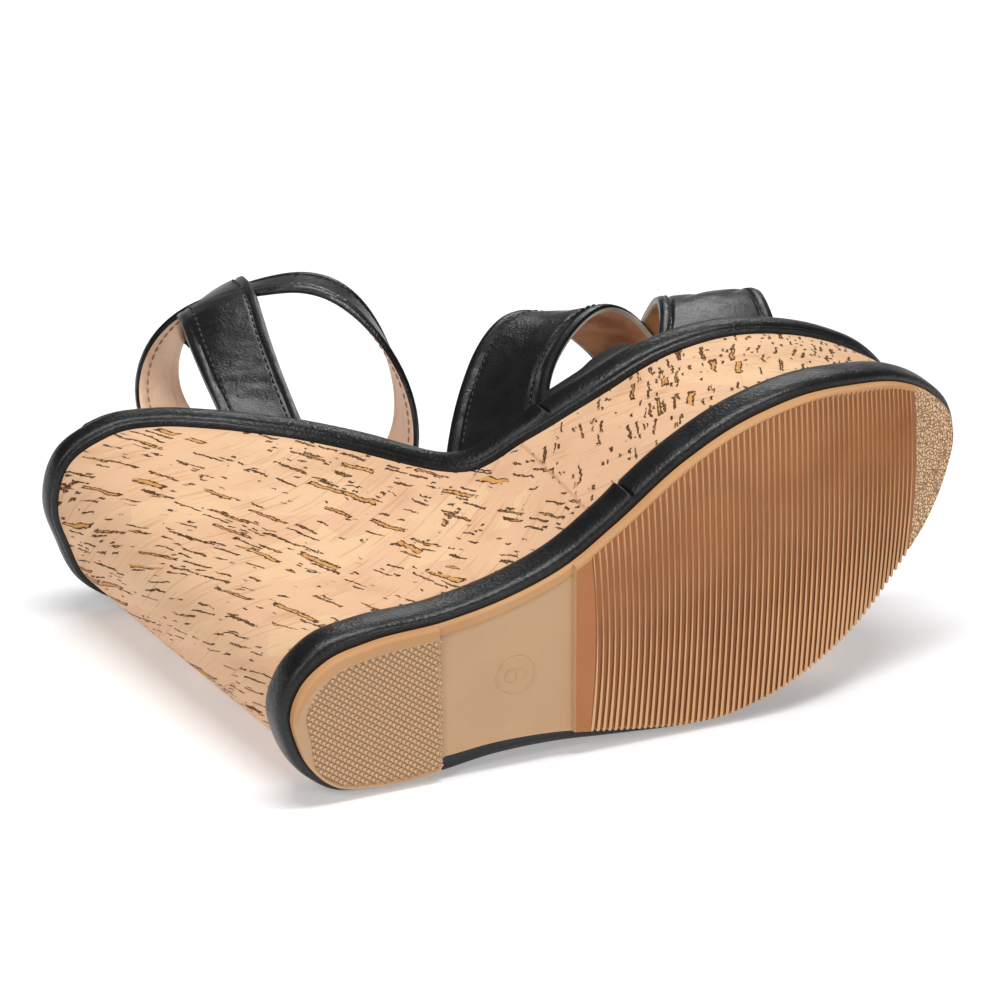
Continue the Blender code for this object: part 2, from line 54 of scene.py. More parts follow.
# Pieces are shaped in the sandal's own frame, x to the toe from the heel end of the outsole,
# y to the outer side of the foot, z up through the sandal, and then laid on the outer side.
lying = {
    "restSide": (-0.04766, 0.99844, -0.02904),
    "standAt": (-0.09052, -0.10461, 0.02335),
}
restSide = Vector(lying["restSide"])
upright = Matrix.Rotation(-math.pi / 2, 3, "X")
settle = (upright @ restSide).rotation_difference(Vector((0.0, 0.0, -1.0))).to_matrix()
turnDown = np.array(settle @ upright)


def place(points):
    points = np.asarray(points, dtype=float)
    return points @ turnDown.T + np.array(lying["standAt"])


def placeDirection(vector):
    return np.asarray(vector, dtype=float) @ turnDown.T


# Shapes shared by several pieces
soleSizes = {
    "length": 195.5 * mm,
    "ballWidth": 80.0 * mm,
    "platformRise": 43.3 * mm,
    "heelRise": 126.4 * mm,
    "gap": 0.3 * mm,
    "outsoleThick": 2.6 * mm,
    "baseThick": 10.1 * mm,
    "bedThick": 9.6 * mm,
    "boardRoll": 1.9 * mm,
    "insoleInset": 3.7 * mm,
    "insoleGap": 0.65 * mm,
    "insoleThick": 2.4 * mm,
    "springStart": 0.650,
    "springEnd": 0.851,
    "springAngle": math.radians(20.8),
    "sideSkew": 0.15,
    "reachEnd": 0.235,
    "reachPower": 1.5,
    "toeReach": 0.87,
    "stations": 300,
    # where stations gather, at the arch and at the rolls' joints: how much, share, spread
    "gathers": ((4.0, 0.34, 0.08), (25.0, 0.480, 0.018)),
    "fineSteps": 8000,
}
soleLength = soleSizes["length"]
ballWidth = soleSizes["ballWidth"]
gap = soleSizes["gap"]
soleEdge = (
    (0.000, -0.017), (0.006, 0.070), (0.024, 0.173), (0.057, 0.251),
    (0.103, 0.279), (0.200, 0.284), (0.280, 0.268), (0.366, 0.274),
    (0.453, 0.303), (0.552, 0.332), (0.612, 0.335), (0.674, 0.303),
    (0.744, 0.242), (0.830, 0.140), (0.904, 0.011), (0.956, -0.103),
    (0.986, -0.222), (1.000, -0.357), (0.989, -0.444), (0.957, -0.530),
    (0.900, -0.617), (0.810, -0.687), (0.723, -0.713), (0.638, -0.677),
    (0.550, -0.582), (0.451, -0.418), (0.382, -0.316), (0.302, -0.253),
    (0.214, -0.220), (0.108, -0.210), (0.052, -0.180), (0.016, -0.113),
)
bedEdge = (
    (-0.066, -0.065), (-0.054, 0.057), (-0.030, 0.201), (0.008, 0.279),
    (0.072, 0.304), (0.192, 0.303), (0.280, 0.292), (0.366, 0.298),
    (0.453, 0.325), (0.552, 0.351), (0.612, 0.351), (0.674, 0.320),
    (0.744, 0.259), (0.830, 0.152), (0.900, 0.020), (0.948, -0.100),
    (0.975, -0.216), (0.985, -0.345), (0.973, -0.440), (0.943, -0.530),
    (0.887, -0.618), (0.805, -0.692), (0.723, -0.723), (0.638, -0.698),
    (0.550, -0.607), (0.451, -0.453), (0.382, -0.359), (0.302, -0.323),
    (0.214, -0.317), (0.081, -0.327), (0.008, -0.305), (-0.044, -0.237),
)
bedClimb = np.array((
    (-0.070, 1.000), (0.000, 0.993), (0.045, 0.983), (0.081, 0.950), (0.127, 0.883),
    (0.172, 0.815), (0.215, 0.729), (0.254, 0.623), (0.289, 0.502), (0.320, 0.365),
    (0.352, 0.234), (0.370, 0.180), (0.385, 0.150), (0.404, 0.131), (0.444, 0.108),
    (0.492, 0.065), (0.541, 0.024), (0.599, 0.010), (0.683, 0.000), (0.850, 0.000),
    (1.010, 0.010),
))
bedLean = np.array((
    (-0.070, 3.0), (0.060, 10.0), (0.147, 22.0), (0.236, 32.0), (0.302, 30.0),
    (0.369, 10.0), (0.435, 0.0), (1.010, 0.0),
))


def hermite(keys, values, at):
    keys = np.asarray(keys, dtype=float)
    values = np.asarray(values, dtype=float)
    steps = np.diff(keys)
    slopes = np.diff(values) / steps
    inner = (slopes[:-1] * steps[1:] + slopes[1:] * steps[:-1]) / (steps[1:] + steps[:-1])
    tangents = np.concatenate(([slopes[0]], inner, [slopes[-1]]))
    at = np.clip(at, keys[0], keys[-1])
    i = np.clip(np.searchsorted(keys, at) - 1, 0, len(keys) - 2)
    s = (at - keys[i]) / steps[i]
    start = values[i] * (1 + 2 * s) * (1 - s) ** 2 + tangents[i] * steps[i] * s * (1 - s) ** 2
    end = values[i + 1] * s * s * (3 - 2 * s) + tangents[i + 1] * steps[i] * s * s * (s - 1)
    return start + end


def tableAt(table, at, column=1):
    return hermite(table[:, 0], table[:, column], at)


def smoothStep(value, low, high):
    share = np.clip((value - low) / (high - low), 0.0, 1.0)
    return share * share * (3 - 2 * share)


def window(value, opens, closes):
    # up over the first stretch and down again over the second
    return smoothStep(value, *opens) * (1 - smoothStep(value, *closes))


def bellShape(value, middle, width):
    return np.exp(-((value - middle) / width) ** 2)


def arcLength(points):
    return np.concatenate(([0.0], np.cumsum(np.linalg.norm(np.diff(points, axis=0), axis=1))))


def unit(vectors):
    length = np.linalg.norm(vectors, axis=-1, keepdims=True)
    return vectors / np.maximum(length, 1e-12)


class Outline:
    # One closed outline as two edges, outer and inner, that meet at the heel and at the toe.
    def __init__(self, table):
        points = np.array(table) * (soleLength, ballWidth)
        wrapped = np.vstack((points[-3:], points, points[:4]))
        run = arcLength(wrapped)
        at = np.linspace(run[3], run[3 + len(points)], 4000, endpoint=False)
        x = hermite(run, wrapped[:, 0], at)
        y = hermite(run, wrapped[:, 1], at)
        heel = int(np.argmin(x))
        x = np.roll(x, -heel)
        y = np.roll(y, -heel)
        toe = int(np.argmax(x))
        self.low = x[0]
        self.high = x[toe]
        self.outerX = x[:toe + 1]
        self.outerY = y[:toe + 1]
        self.innerX = np.append(x[toe:], x[0])[::-1]
        self.innerY = np.append(y[toe:], y[0])[::-1]

    def outer(self, x):
        return np.interp(x, self.outerX, self.outerY)

    def inner(self, x):
        return np.interp(x, self.innerX, self.innerY)


sole = Outline(soleEdge)
bed = Outline(bedEdge)


def stationShares(count):
    steps = soleSizes["fineSteps"]
    fine = (np.arange(steps) + 0.5) / steps
    weight = 1 / np.sqrt(fine * (1 - fine))
    for gathered, middle, spread in soleSizes["gathers"]:
        weight += gathered * bellShape(fine, middle, spread)
    total = np.concatenate(([0.0], np.cumsum(weight)))
    return np.interp(np.linspace(0, total[-1], count + 1), total, np.arange(steps + 1) / steps)


class Edges:
    # Edge points of one outline at the same stations, with outward normals.
    def __init__(self, x, outerY, innerY):
        outer = np.column_stack((x, outerY))
        inner = np.column_stack((x, innerY))
        loop = np.vstack((outer, inner[-2:0:-1]))
        along = np.roll(loop, -1, axis=0) - np.roll(loop, 1, axis=0)
        normal = unit(np.column_stack((-along[:, 1], along[:, 0])))
        count = len(x)
        self.outer = outer
        self.inner = inner
        self.outerNormal = normal[:count]
        self.innerNormal = np.vstack((normal[:1], normal[:count - 2:-1]))

    def ring(self, offset):
        # offset may be one number or one for each station and side
        outerOffset, innerOffset = offset if isinstance(offset, tuple) else (offset, offset)
        outer = self.outer + np.asarray(outerOffset)[..., None] * self.outerNormal
        inner = self.inner + np.asarray(innerOffset)[..., None] * self.innerNormal
        return outer, inner


def springHeight(x):
    start = soleSizes["springStart"] * soleLength
    end = soleSizes["springEnd"] * soleLength
    slope = math.tan(soleSizes["springAngle"])
    curved = 0.5 * slope / (end - start) * np.clip(x - start, 0.0, end - start) ** 2
    return curved + slope * np.clip(x - end, 0.0, None)


def bedReach(x, y):
    return (x + soleSizes["sideSkew"] * (y - bed.inner(x))) / soleLength


def bedLower(x, y):
    share = tableAt(bedClimb, bedReach(x, y))
    rise = soleSizes["platformRise"]
    return rise + share * (soleSizes["heelRise"] - rise)


def bedDirection(x, y):
    lean = np.radians(tableAt(bedLean, bedReach(x, y)))
    return np.column_stack((np.sin(lean), np.zeros_like(lean), np.cos(lean)))


shares = stationShares(soleSizes["stations"])
baseX = sole.low + shares * (sole.high - sole.low)
baseEdges = Edges(baseX, sole.outer(baseX), sole.inner(baseX))
backShift = np.clip((soleSizes["reachEnd"] - shares) / soleSizes["reachEnd"], 0, 1)
frontShift = np.clip((shares - soleSizes["toeReach"]) / (1 - soleSizes["toeReach"]), 0, 1)
bedX = baseX - (sole.low - bed.low) * backShift ** soleSizes["reachPower"]
bedX = bedX + (bed.high - sole.high) * frontShift ** 2
bedEdges = Edges(bedX, bed.outer(bedX), bed.inner(bedX))


def bedRing(offset, lift):
    sides = []
    for edge, moved in zip((bedEdges.outer, bedEdges.inner), bedEdges.ring(offset)):
        ground = np.column_stack((moved, bedLower(moved[:, 0], moved[:, 1])))
        sides.append(ground + bedDirection(edge[:, 0], edge[:, 1]) * lift)
    return sides


def levelRing(edges, offset, height):
    rise = springHeight(edges.outer[:, 0]) + height
    return [np.column_stack((moved, rise)) for moved in edges.ring(offset)]


topOuter, topInner = bedRing(0.0, gap + soleSizes["bedThick"])


def outerEdge(x):
    return np.interp(x, topOuter[:, 0], topOuter[:, 1])


def innerEdge(x):
    return np.interp(x, topInner[:, 0], topInner[:, 1])


def bedUpper(x, y):
    outerZ = np.interp(x, topOuter[:, 0], topOuter[:, 2])
    innerZ = np.interp(x, topInner[:, 0], topInner[:, 2])
    width = np.maximum(outerEdge(x) - innerEdge(x), mm)
    share = np.clip((y - innerEdge(x)) / width, 0.0, 1.0)
    return innerZ + (outerZ - innerZ) * share


class Signal:
    # One output of a node, so that a mask or a mix reads as a plain sum.
    def __init__(self, finish, socket):
        self.finish = finish
        self.socket = socket

    def maths(self, operation, other, swapped=False):
        first, second = (other, self) if swapped else (self, other)
        return self.finish.node("ShaderNodeMath", {"operation": operation}, {0: first, 1: second})

    def __add__(self, other):
        return self.maths("ADD", other)

    __radd__ = __add__

    def __sub__(self, other):
        return self.maths("SUBTRACT", other)

    def __rsub__(self, other):
        return self.maths("SUBTRACT", other, True)

    def __mul__(self, other):
        return self.maths("MULTIPLY", other)

    __rmul__ = __mul__


class Finish:
    # A material and the few node patterns that the sandal's finishes are made from.
    def __init__(self, name, colour, roughness, **sockets):
        self.material = bpy.data.materials.new(name)
        self.material.use_nodes = True
        self.tree = self.material.node_tree
        self.shader = self.tree.nodes["Principled BSDF"]
        self.shader.inputs["Base Color"].default_value = (*colour, 1.0)
        self.shader.inputs["Roughness"].default_value = roughness
        for socket, value in sockets.items():
            self.shader.inputs[socket.replace("_", " ")].default_value = value
        self.spot = self.node("ShaderNodeTexCoord", {}, {}, "Object")

    def node(self, kind, settings, inputs, output=0):
        made = self.tree.nodes.new(kind)
        for key, value in settings.items():
            if key == "stops":
                ramp = made.color_ramp
                while len(ramp.elements) < len(value):
                    ramp.elements.new(0.5)
                for element, (position, colour) in zip(ramp.elements, value):
                    element.position = position
                    element.color = colour if len(colour) == 4 else (*colour, 1.0)
            else:
                setattr(made, key, value)
        for key, value in inputs.items():
            if isinstance(value, Signal):
                self.tree.links.new(value.socket, made.inputs[key])
            else:
                made.inputs[key].default_value = value
        return Signal(self, made.outputs[output])

    def turned(self, vector, angles, scale=(1, 1, 1), shift=(0, 0, 0)):
        inputs = {"Vector": vector, "Location": shift, "Rotation": angles, "Scale": scale}
        return self.node("ShaderNodeMapping", {"vector_type": "POINT"}, inputs)

    def noise(self, scale, detail=3.0, roughness=0.55, vector=None, output="Fac"):
        inputs = {"Vector": vector or self.spot, "Scale": scale, "Detail": detail,
                  "Roughness": roughness}
        return self.node("ShaderNodeTexNoise", {}, inputs, output)

    def cells(self, scale, vector=None, output="Distance", feature="F1"):
        inputs = {"Vector": vector or self.spot, "Scale": scale}
        return self.node("ShaderNodeTexVoronoi", {"feature": feature}, inputs, output)

    def vector(self, operation, first, second, output=0):
        settings = {"operation": operation}
        return self.node("ShaderNodeVectorMath", settings, {0: first, 1: second}, output)

    def part(self, vector, axis):
        return self.node("ShaderNodeSeparateXYZ", {}, {0: vector}, axis)

    def between(self, value, low, high, outLow=0.0, outHigh=1.0):
        inputs = {"Value": value, 1: low, 2: high, 3: outLow, 4: outHigh}
        settings = {"interpolation_type": "SMOOTHSTEP", "clamp": True}
        return self.node("ShaderNodeMapRange", settings, inputs)

    def blend(self, share, first, second, mode="MIX"):
        colours = {}
        for key, value in ((6, first), (7, second)):
            colours[key] = value if isinstance(value, Signal) else (*value, 1.0)
        settings = {"data_type": "RGBA", "blend_type": mode}
        return self.node("ShaderNodeMix", settings, {0: share, **colours}, 2)

    def bump(self, height, distance, strength=1.0, below=None):
        inputs = {"Height": height, "Distance": distance, "Strength": strength}
        if below is not None:
            inputs["Normal"] = below
        return self.node("ShaderNodeBump", {}, inputs)

    def feed(self, **signals):
        for socket, signal in signals.items():
            target = self.shader.inputs[socket.replace("_", " ")]
            self.tree.links.new(signal.socket, target)
        return self.material


def leatherFinish(name, look):
    finish = Finish(name, look["colour"], look["roughness"], Specular_IOR_Level=0.42)
    grain = finish.cells(look["grain"], feature="SMOOTH_F1")
    broad = finish.noise(look["grain"] * 0.12, 4.0)
    fine = finish.noise(look["grain"] * 2.6, 2.0)
    worn = finish.between(finish.noise(38.0, 3.0), 0.45, 0.75)
    height = grain * 0.75 + fine * 0.35 + broad * 0.5
    normal = finish.bump(height, look["grainDepth"])
    rolls = finish.noise(70.0, 2.0)
    normal = finish.bump(rolls, look["rollDepth"], below=normal)
    colour = finish.blend(worn * 0.6 + grain * 0.3, look["colour"], look["worn"])
    rough = look["roughness"] + (broad - 0.5) * 0.22 + worn * 0.05
    finish.feed(Base_Color=colour, Normal=normal, Roughness=rough)
    return finish.material


leatherLook = {
    "roll": {
        "colour": (0.0045, 0.0045, 0.005), "worn": (0.010, 0.010, 0.0105), "roughness": 0.36,
        "grain": 1300.0, "grainDepth": 0.00016, "rollDepth": 0.0006,
    },
    "strap": {
        "colour": (0.004, 0.004, 0.0045), "worn": (0.010, 0.010, 0.0105), "roughness": 0.31,
        "grain": 1500.0, "grainDepth": 0.00010, "rollDepth": 0.0009,
    },
    "insole": {
        "colour": (0.010, 0.010, 0.011), "worn": (0.02, 0.02, 0.021), "roughness": 0.5,
        "grain": 1700.0, "grainDepth": 0.00008, "rollDepth": 0.0004,
    },
}
rollLeather, strapLeather, insoleLeather = (
    leatherFinish(f"{name}Leather", leatherLook[name]) for name in ("roll", "strap", "insole"))


def liningFinish(name, light, dark):
    finish = Finish(name, light, 0.62)
    pores = finish.cells(2600.0)
    soft = finish.noise(90.0, 4.0)
    colour = finish.blend(finish.between(soft, 0.35, 0.7), light, dark)
    normal = finish.bump(pores * 0.6 + soft * 0.8, 0.00009)
    normal = finish.bump(finish.noise(160.0, 2.0), 0.0006, below=normal)
    finish.feed(Base_Color=colour, Normal=normal)
    return finish.material


paleLining = liningFinish("paleLining", (0.90, 0.64, 0.46), (0.82, 0.55, 0.38))
brownLining = liningFinish("brownLining", (0.78, 0.37, 0.17), (0.50, 0.20, 0.078))
liningEdge = liningFinish("liningEdge", (0.84, 0.76, 0.62), (0.70, 0.61, 0.47))
threadBlack = Finish("blackThread", (0.012, 0.012, 0.013), 0.55).material
threadTan = liningFinish("tanThread", (0.42, 0.25, 0.14), (0.3, 0.17, 0.09))


corkLook = {
    "base": (0.685, 0.425, 0.262), "pale": (0.73, 0.480, 0.288), "tan": (0.50, 0.275, 0.145),
    "bark": (0.060, 0.023, 0.008), "amber": (0.64, 0.32, 0.10),
    "wrapFrom": 0.045, "wrapTurn": 1.7, "wobble": (0.0010, 0.0026, 0.0010),
    "rearGrain": 61.3, "frontGrain": 118.5,
    "jointAt": 0.0985, "jointWide": 0.4 * mm, "jointShade": 0.5 * mm,
    # marks as (cell long, cell wide, half length, half width, share left out), in mm
    "rearMarks": ((13.0, 6.0, 5.6, 0.80, 0.42), (9.0, 4.2, 3.4, 0.20, 0.56),
                  (3.4, 2.2, 0.5, 0.20, 0.86)),
    "frontMarks": ((9.0, 6.5, 3.8, 0.75, 0.46), (7.0, 3.4, 2.6, 0.22, 0.54),
                   (3.2, 2.2, 0.5, 0.20, 0.76)),
}


def corkSheet(finish, angle, seed, marks):
    # dark ragged marks with an amber heart, drawn along the sheet's own grain
    turned = finish.turned(finish.spot, (0, 0, math.radians(angle)), shift=(seed, seed * 0.7, 0))
    wobble = finish.vector("SUBTRACT", finish.noise(210.0, 2.0, vector=turned, output="Color"),
                           (0.5, 0.5, 0.5))
    wobble = finish.vector("MULTIPLY", wobble, corkLook["wobble"])
    bent = finish.vector("ADD", turned, wobble)
    crumb = finish.noise(1150.0, 4.0, 0.65, bent) - 0.5
    gather = finish.noise(62.0, 2.0, vector=turned)
    bark = None
    amber = None
    for cellLong, cellWide, halfLong, halfWide, leftOut in marks:
        spread = finish.vector("MULTIPLY", bent, (1.0, cellLong / cellWide, 0.6))
        scale = 1000.0 / cellLong
        chance = finish.cells(scale, spread, "Color")
        away = finish.vector("SUBTRACT", spread, finish.cells(scale, spread, "Position"))
        size = finish.part(chance, "Y")
        reach = (size * 0.65 + 0.35) * halfLong * mm
        along = finish.part(away, "X").maths("ABSOLUTE", 0.0) - reach
        across = finish.part(away, "Y") * (cellWide / cellLong)
        thin = size * size * halfWide * mm + 0.05 * mm
        across = across.maths("ABSOLUTE", 0.0) - thin
        outside = across.maths("MAXIMUM", along * 0.5) + crumb * (1.5 * mm)
        kept = finish.between(finish.part(chance, "X") + (gather - 0.5) * 1.6, leftOut,
                              leftOut + 0.03)
        dark = finish.between(outside, 0.10 * mm, 0.24 * mm, 1.0, 0.0) * kept
        heart = finish.between(outside, -0.34 * mm, -0.10 * mm, 1.0, 0.0) * kept
        heart = heart * (1.0 - finish.between(crumb, 0.06, 0.13) * 0.75)
        bark = dark if bark is None else bark.maths("MAXIMUM", dark)
        amber = heart if amber is None else amber.maths("MAXIMUM", heart)
    panels = finish.vector("MULTIPLY", bent, (1.0, 0.42, 0.6))
    panel = finish.part(finish.cells(82.0, panels, "Color"), "X")
    lines = finish.noise(95.0, 3.0, 0.6, finish.vector("MULTIPLY", turned, (10.0, 0.5, 1.5)))
    return bark, amber, panel, lines


def corkFinish():
    look = corkLook
    finish = Finish("corkVeneer", look["base"], 0.68, Specular_IOR_Level=0.15)
    finish.spot = finish.node("ShaderNodeUVMap", {}, {})
    around = finish.part(finish.spot, "X")
    joint = around.maths("ABSOLUTE", 0.0)
    # the rear sheet's grain turns steeper as it wraps round the heel end
    wrap = (look["wrapFrom"] - around).maths("MAXIMUM", 0.0).maths("MINIMUM", 2 * look["wrapFrom"])
    bend = 0.5 * look["wrapTurn"] / look["wrapFrom"]
    steep = finish.part(finish.spot, "Y") - wrap * wrap * bend
    finish.spot = finish.node("ShaderNodeCombineXYZ", {}, {0: around, 1: steep})
    joint = joint + finish.noise(260.0, 2.0) * 0.0012
    at, shade = look["jointAt"], look["jointShade"]
    past = at + look["jointWide"]
    front = finish.between(joint, at, past)
    rear = corkSheet(finish, look["rearGrain"], 0.013, look["rearMarks"])
    fore = corkSheet(finish, look["frontGrain"], 0.057, look["frontMarks"])
    bark, amber, panel, lines = (rear[k] * (1.0 - front) + fore[k] * front for k in range(4))
    cloud = finish.noise(55.0, 4.0)
    dots = finish.noise(1000.0, 3.0)
    colour = finish.blend(finish.between(panel, 0.1, 0.95), look["base"], look["pale"])
    colour = finish.blend(finish.between(cloud, 0.48, 0.75, 0.0, 0.42), colour, look["tan"])
    colour = finish.blend(finish.between(lines, 0.56, 0.64, 0.0, 0.5), colour, look["tan"])
    colour = finish.blend(finish.between(dots, 0.58, 0.78, 0.0, 0.32), colour, look["tan"])
    colour = finish.blend(bark * 0.97, colour, look["bark"])
    colour = finish.blend(amber * 0.93, colour, look["amber"])
    seam = finish.between(joint, at - shade, at)
    seam = seam * finish.between(joint, past, past + shade, 1.0, 0.0)
    colour = finish.blend(seam * 0.6, colour, look["tan"])
    height = (1.0 - bark) * 0.9 + lines * 0.15 + panel * 0.05 + dots * 0.1
    finish.feed(Base_Color=colour, Normal=finish.bump(height, 0.0003),
                Roughness=0.66 + bark * 0.2)
    return finish.material


corkVeneer = corkFinish()
# painted shade for the grooves between the toe's pebbles
pebbleGroovePaintedShade = (0.40, 0.19, 0.078)


def rubberFinish(name, light, dark, pebble=0.0):
    finish = Finish(name, light, 0.55)
    mottle = finish.noise(55.0, 4.0)
    speck = finish.noise(1800.0, 2.0)
    colour = finish.blend(finish.between(mottle, 0.35, 0.7), light, dark)
    normal = finish.bump(speck, 0.00004)
    if pebble:
        cells = finish.cells(1000.0, feature="DISTANCE_TO_EDGE")
        stones = finish.between(cells, 0.01, 0.15)
        # painted shade: darker colour in the grooves between the pebbles
        colour = finish.blend(1.0 - stones, colour, pebbleGroovePaintedShade)
        normal = finish.bump(stones, pebble, below=normal)
    finish.feed(Base_Color=colour, Normal=normal, Roughness=0.50 + speck * 0.12)
    return finish.material


tanRubber = rubberFinish("tanRubber", (0.54, 0.33, 0.178), (0.50, 0.305, 0.162))


def latticeFinish(name, light, dark):
    # pale points and painted shade in the valleys between them, by the piece's own unwrapped
    # squares; the dark valleys stand in for the shade between the pyramids
    finish = Finish(name, light, 0.55)
    square = finish.node("ShaderNodeUVMap", {}, {})
    cell = finish.vector("FRACTION", square, (0, 0, 0))
    cell = finish.vector("SUBTRACT", cell, (0.5, 0.5, 0.0))
    cell = finish.vector("ABSOLUTE", cell, (0, 0, 0))
    valley = finish.part(cell, "X").maths("MAXIMUM", finish.part(cell, "Y"))
    colour = finish.blend(finish.between(valley, 0.22, 0.5), light, dark)
    speck = finish.noise(1800.0, 2.0)
    finish.feed(Base_Color=colour, Normal=finish.bump(speck, 0.00003))
    return finish.material


# pale points, with dark colour painted in the valleys as shade
latticeRubberPaintedShade = latticeFinish("latticeRubberPaintedShade", (0.80, 0.53, 0.31), (0.24, 0.125, 0.055))
rubberShades = {
    "bandRubber": ((0.42, 0.150, 0.040), (0.38, 0.132, 0.034)),
    # painted highlight for the ribs' tops and heel-facing sides
    "ribPaintedHighlight": ((0.68, 0.38, 0.175), (0.62, 0.34, 0.15)),
    "ribFloor": ((0.38, 0.136, 0.038), (0.33, 0.112, 0.031)),
    "toeRubber": ((0.90, 0.57, 0.31), (0.84, 0.52, 0.275), 0.0006),
    "rimRubber": ((0.54, 0.285, 0.122), (0.50, 0.258, 0.107)),
    # painted shade for the ribs' toe-facing sides
    "ribPaintedShade": ((0.20, 0.070, 0.024), (0.17, 0.058, 0.02)),
}
treadFinishes = [tanRubber] + [rubberFinish(name, *shades) for name, shades in rubberShades.items()]
tanSlot, bandSlot, ribPaintedHighlightSlot, ribFloorSlot, toeSlot, rimSlot, ribPaintedShadeSlot = range(7)
print("finishes ready")


def asPiece(name, materials):
    item = bpy.context.object
    item.name = name
    item.data.name = name
    for material in materials:
        item.data.materials.append(material)
    return item


def addGrid(name, points, materials, faceSlots=None, uv=None, smooth=40, closedShell=True):
    # A grid primitive whose vertices are moved to the piece's own surface, rows by columns.
    rows, columns = points.shape[:2]
    bpy.ops.object.select_all(action="DESELECT")
    bpy.ops.mesh.primitive_grid_add(x_subdivisions=columns - 1, y_subdivisions=rows - 1, size=1)
    item = asPiece(name, materials)
    mesh = item.data
    mesh.vertices.foreach_set("co", place(points.reshape(-1, 3)).ravel())
    if faceSlots is not None:
        mesh.polygons.foreach_set("material_index", np.asarray(faceSlots, dtype=np.int32).ravel())
    if uv is not None:
        corner = np.empty(len(mesh.loops), dtype=np.int32)
        mesh.loops.foreach_get("vertex_index", corner)
        mesh.uv_layers[0].data.foreach_set("uv", uv.reshape(-1, 2)[corner].ravel())
    mesh.update()
    bpy.ops.object.mode_set(mode="EDIT")
    bpy.ops.mesh.select_all(action="SELECT")
    bpy.ops.mesh.remove_doubles(threshold=2e-6)
    if closedShell:
        bpy.ops.mesh.normals_make_consistent(inside=False)
    bpy.ops.object.mode_set(mode="OBJECT")
    bpy.ops.object.shade_smooth_by_angle(angle=math.radians(smooth))
    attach(item, "root")
    return item


def vertexPoints(item):
    flat = np.empty(len(item.data.vertices) * 3)
    item.data.vertices.foreach_get("co", flat)
    return flat.reshape(-1, 3)


def denseProfile(profile, count):
    points = np.array(profile, dtype=float)
    run = arcLength(points)
    at = np.linspace(0, run[-1], count)
    return np.column_stack((hermite(run, points[:, 0], at), hermite(run, points[:, 1], at)))


def loftBody(name, rings, across, material, unwrap=False):
    # rings: (outer, inner) edge points from the lowest ring to the highest
    outer = [ring[0] for ring in rings]
    inner = [ring[1] for ring in rings]
    shareAcross = np.linspace(0, 1, across + 2)[1:-1]
    top = [outer[-1] + (inner[-1] - outer[-1]) * s for s in shareAcross]
    under = [inner[0] + (outer[0] - inner[0]) * s for s in shareAcross]
    grid = np.stack(outer + top + inner[::-1] + under + [outer[0]], axis=1)
    uv = None
    if unwrap:
        count = len(rings)
        # metres round the outline from the heel end, inner side positive, by metres of height
        outerRun, innerRun = arcLength(baseEdges.outer), arcLength(baseEdges.inner)
        runs = [-outerRun] * count + [0 * outerRun] * across + [innerRun] * count
        runs += [0 * outerRun] * across + [-outerRun]
        uv = np.stack((np.stack(runs, axis=1), grid[:, :, 2]), axis=2)
    return addGrid(name, grid, [material], uv=uv)


def seamLift(x, at, rise, ramp):
    # a folded joint: the leather on one side lies over the other, with a crease between
    near = (x - at) / mm
    flap = np.exp(np.minimum(near, 0.0) / ramp) * (1 - smoothStep(near, -0.2, 0.25)) * rise
    crease = -0.5 * mm * bellShape(near, 0.35, 0.26)
    return flap + crease


# Lower board: leather roll between outsole and cork
lowerRoll = {
    "profile": ((-0.3, 0.0), (0.45, -0.01), (0.82, 0.06), (0.99, 0.19), (1.03, 0.38), (1.02, 0.60),
                (0.92, 0.80), (0.70, 0.95), (0.30, 1.04), (-0.2, 1.06)),
    "rings": 24, "heelBulk": 1.1 * mm, "innerBulk": 0.9 * mm,
    "seam": (94.6 * mm, 0.7 * mm, 3.5), "ripple": 0.10 * mm, "rippleLong": 9.0 * mm,
}
baseFloorHeight = soleSizes["outsoleThick"] + gap
lowerRings = []
for out, up in denseProfile(lowerRoll["profile"], lowerRoll["rings"]):
    joint = seamLift(baseX, *lowerRoll["seam"]) * smoothStep(out, 0.0, 0.6)
    ripple = lowerRoll["ripple"] * np.sin(baseX / lowerRoll["rippleLong"])
    ripple = ripple * smoothStep(out, 0.2, 0.9)
    heelBulk = lowerRoll["heelBulk"] * (1 - smoothStep(baseX, 4 * mm, 34 * mm))
    outerOffset = out * (soleSizes["boardRoll"] + heelBulk * (1 - smoothStep(baseX, 0, 9 * mm)))
    innerBulk = lowerRoll["innerBulk"] * window(baseX, (0, 12 * mm), (150 * mm, 185 * mm))
    innerOffset = out * (soleSizes["boardRoll"] + heelBulk + innerBulk)
    lowerRings.append(levelRing(baseEdges, (outerOffset + ripple, innerOffset + ripple + joint),
                           baseFloorHeight + up * soleSizes["baseThick"]))
lowerBoard = loftBody("baseRoll", lowerRings, 8, rollLeather)
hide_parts("base_board")

# Cork wedge: veneer over the core, with a slight swell between the boards
wedge = {"rows": 26, "inset": 0.5 * mm, "swell": 0.35 * mm}
corkFloor = baseFloorHeight + soleSizes["baseThick"] + gap
lowSides = levelRing(baseEdges, -wedge["inset"], corkFloor)
highSides = bedRing(-wedge["inset"], 0.0)
wedgeRings = []
for row in range(wedge["rows"] + 1):
    share = row / wedge["rows"]
    sides = []
    for low, high, away in zip(lowSides, highSides, (baseEdges.outerNormal, baseEdges.innerNormal)):
        ring = low + (high - low) * share
        ring[:, :2] += away * (wedge["swell"] * math.sin(math.pi * share))
        sides.append(ring)
    wedgeRings.append(sides)
corkBody = loftBody("corkBody", wedgeRings, 6, corkVeneer, unwrap=True)
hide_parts("cork_wedge")

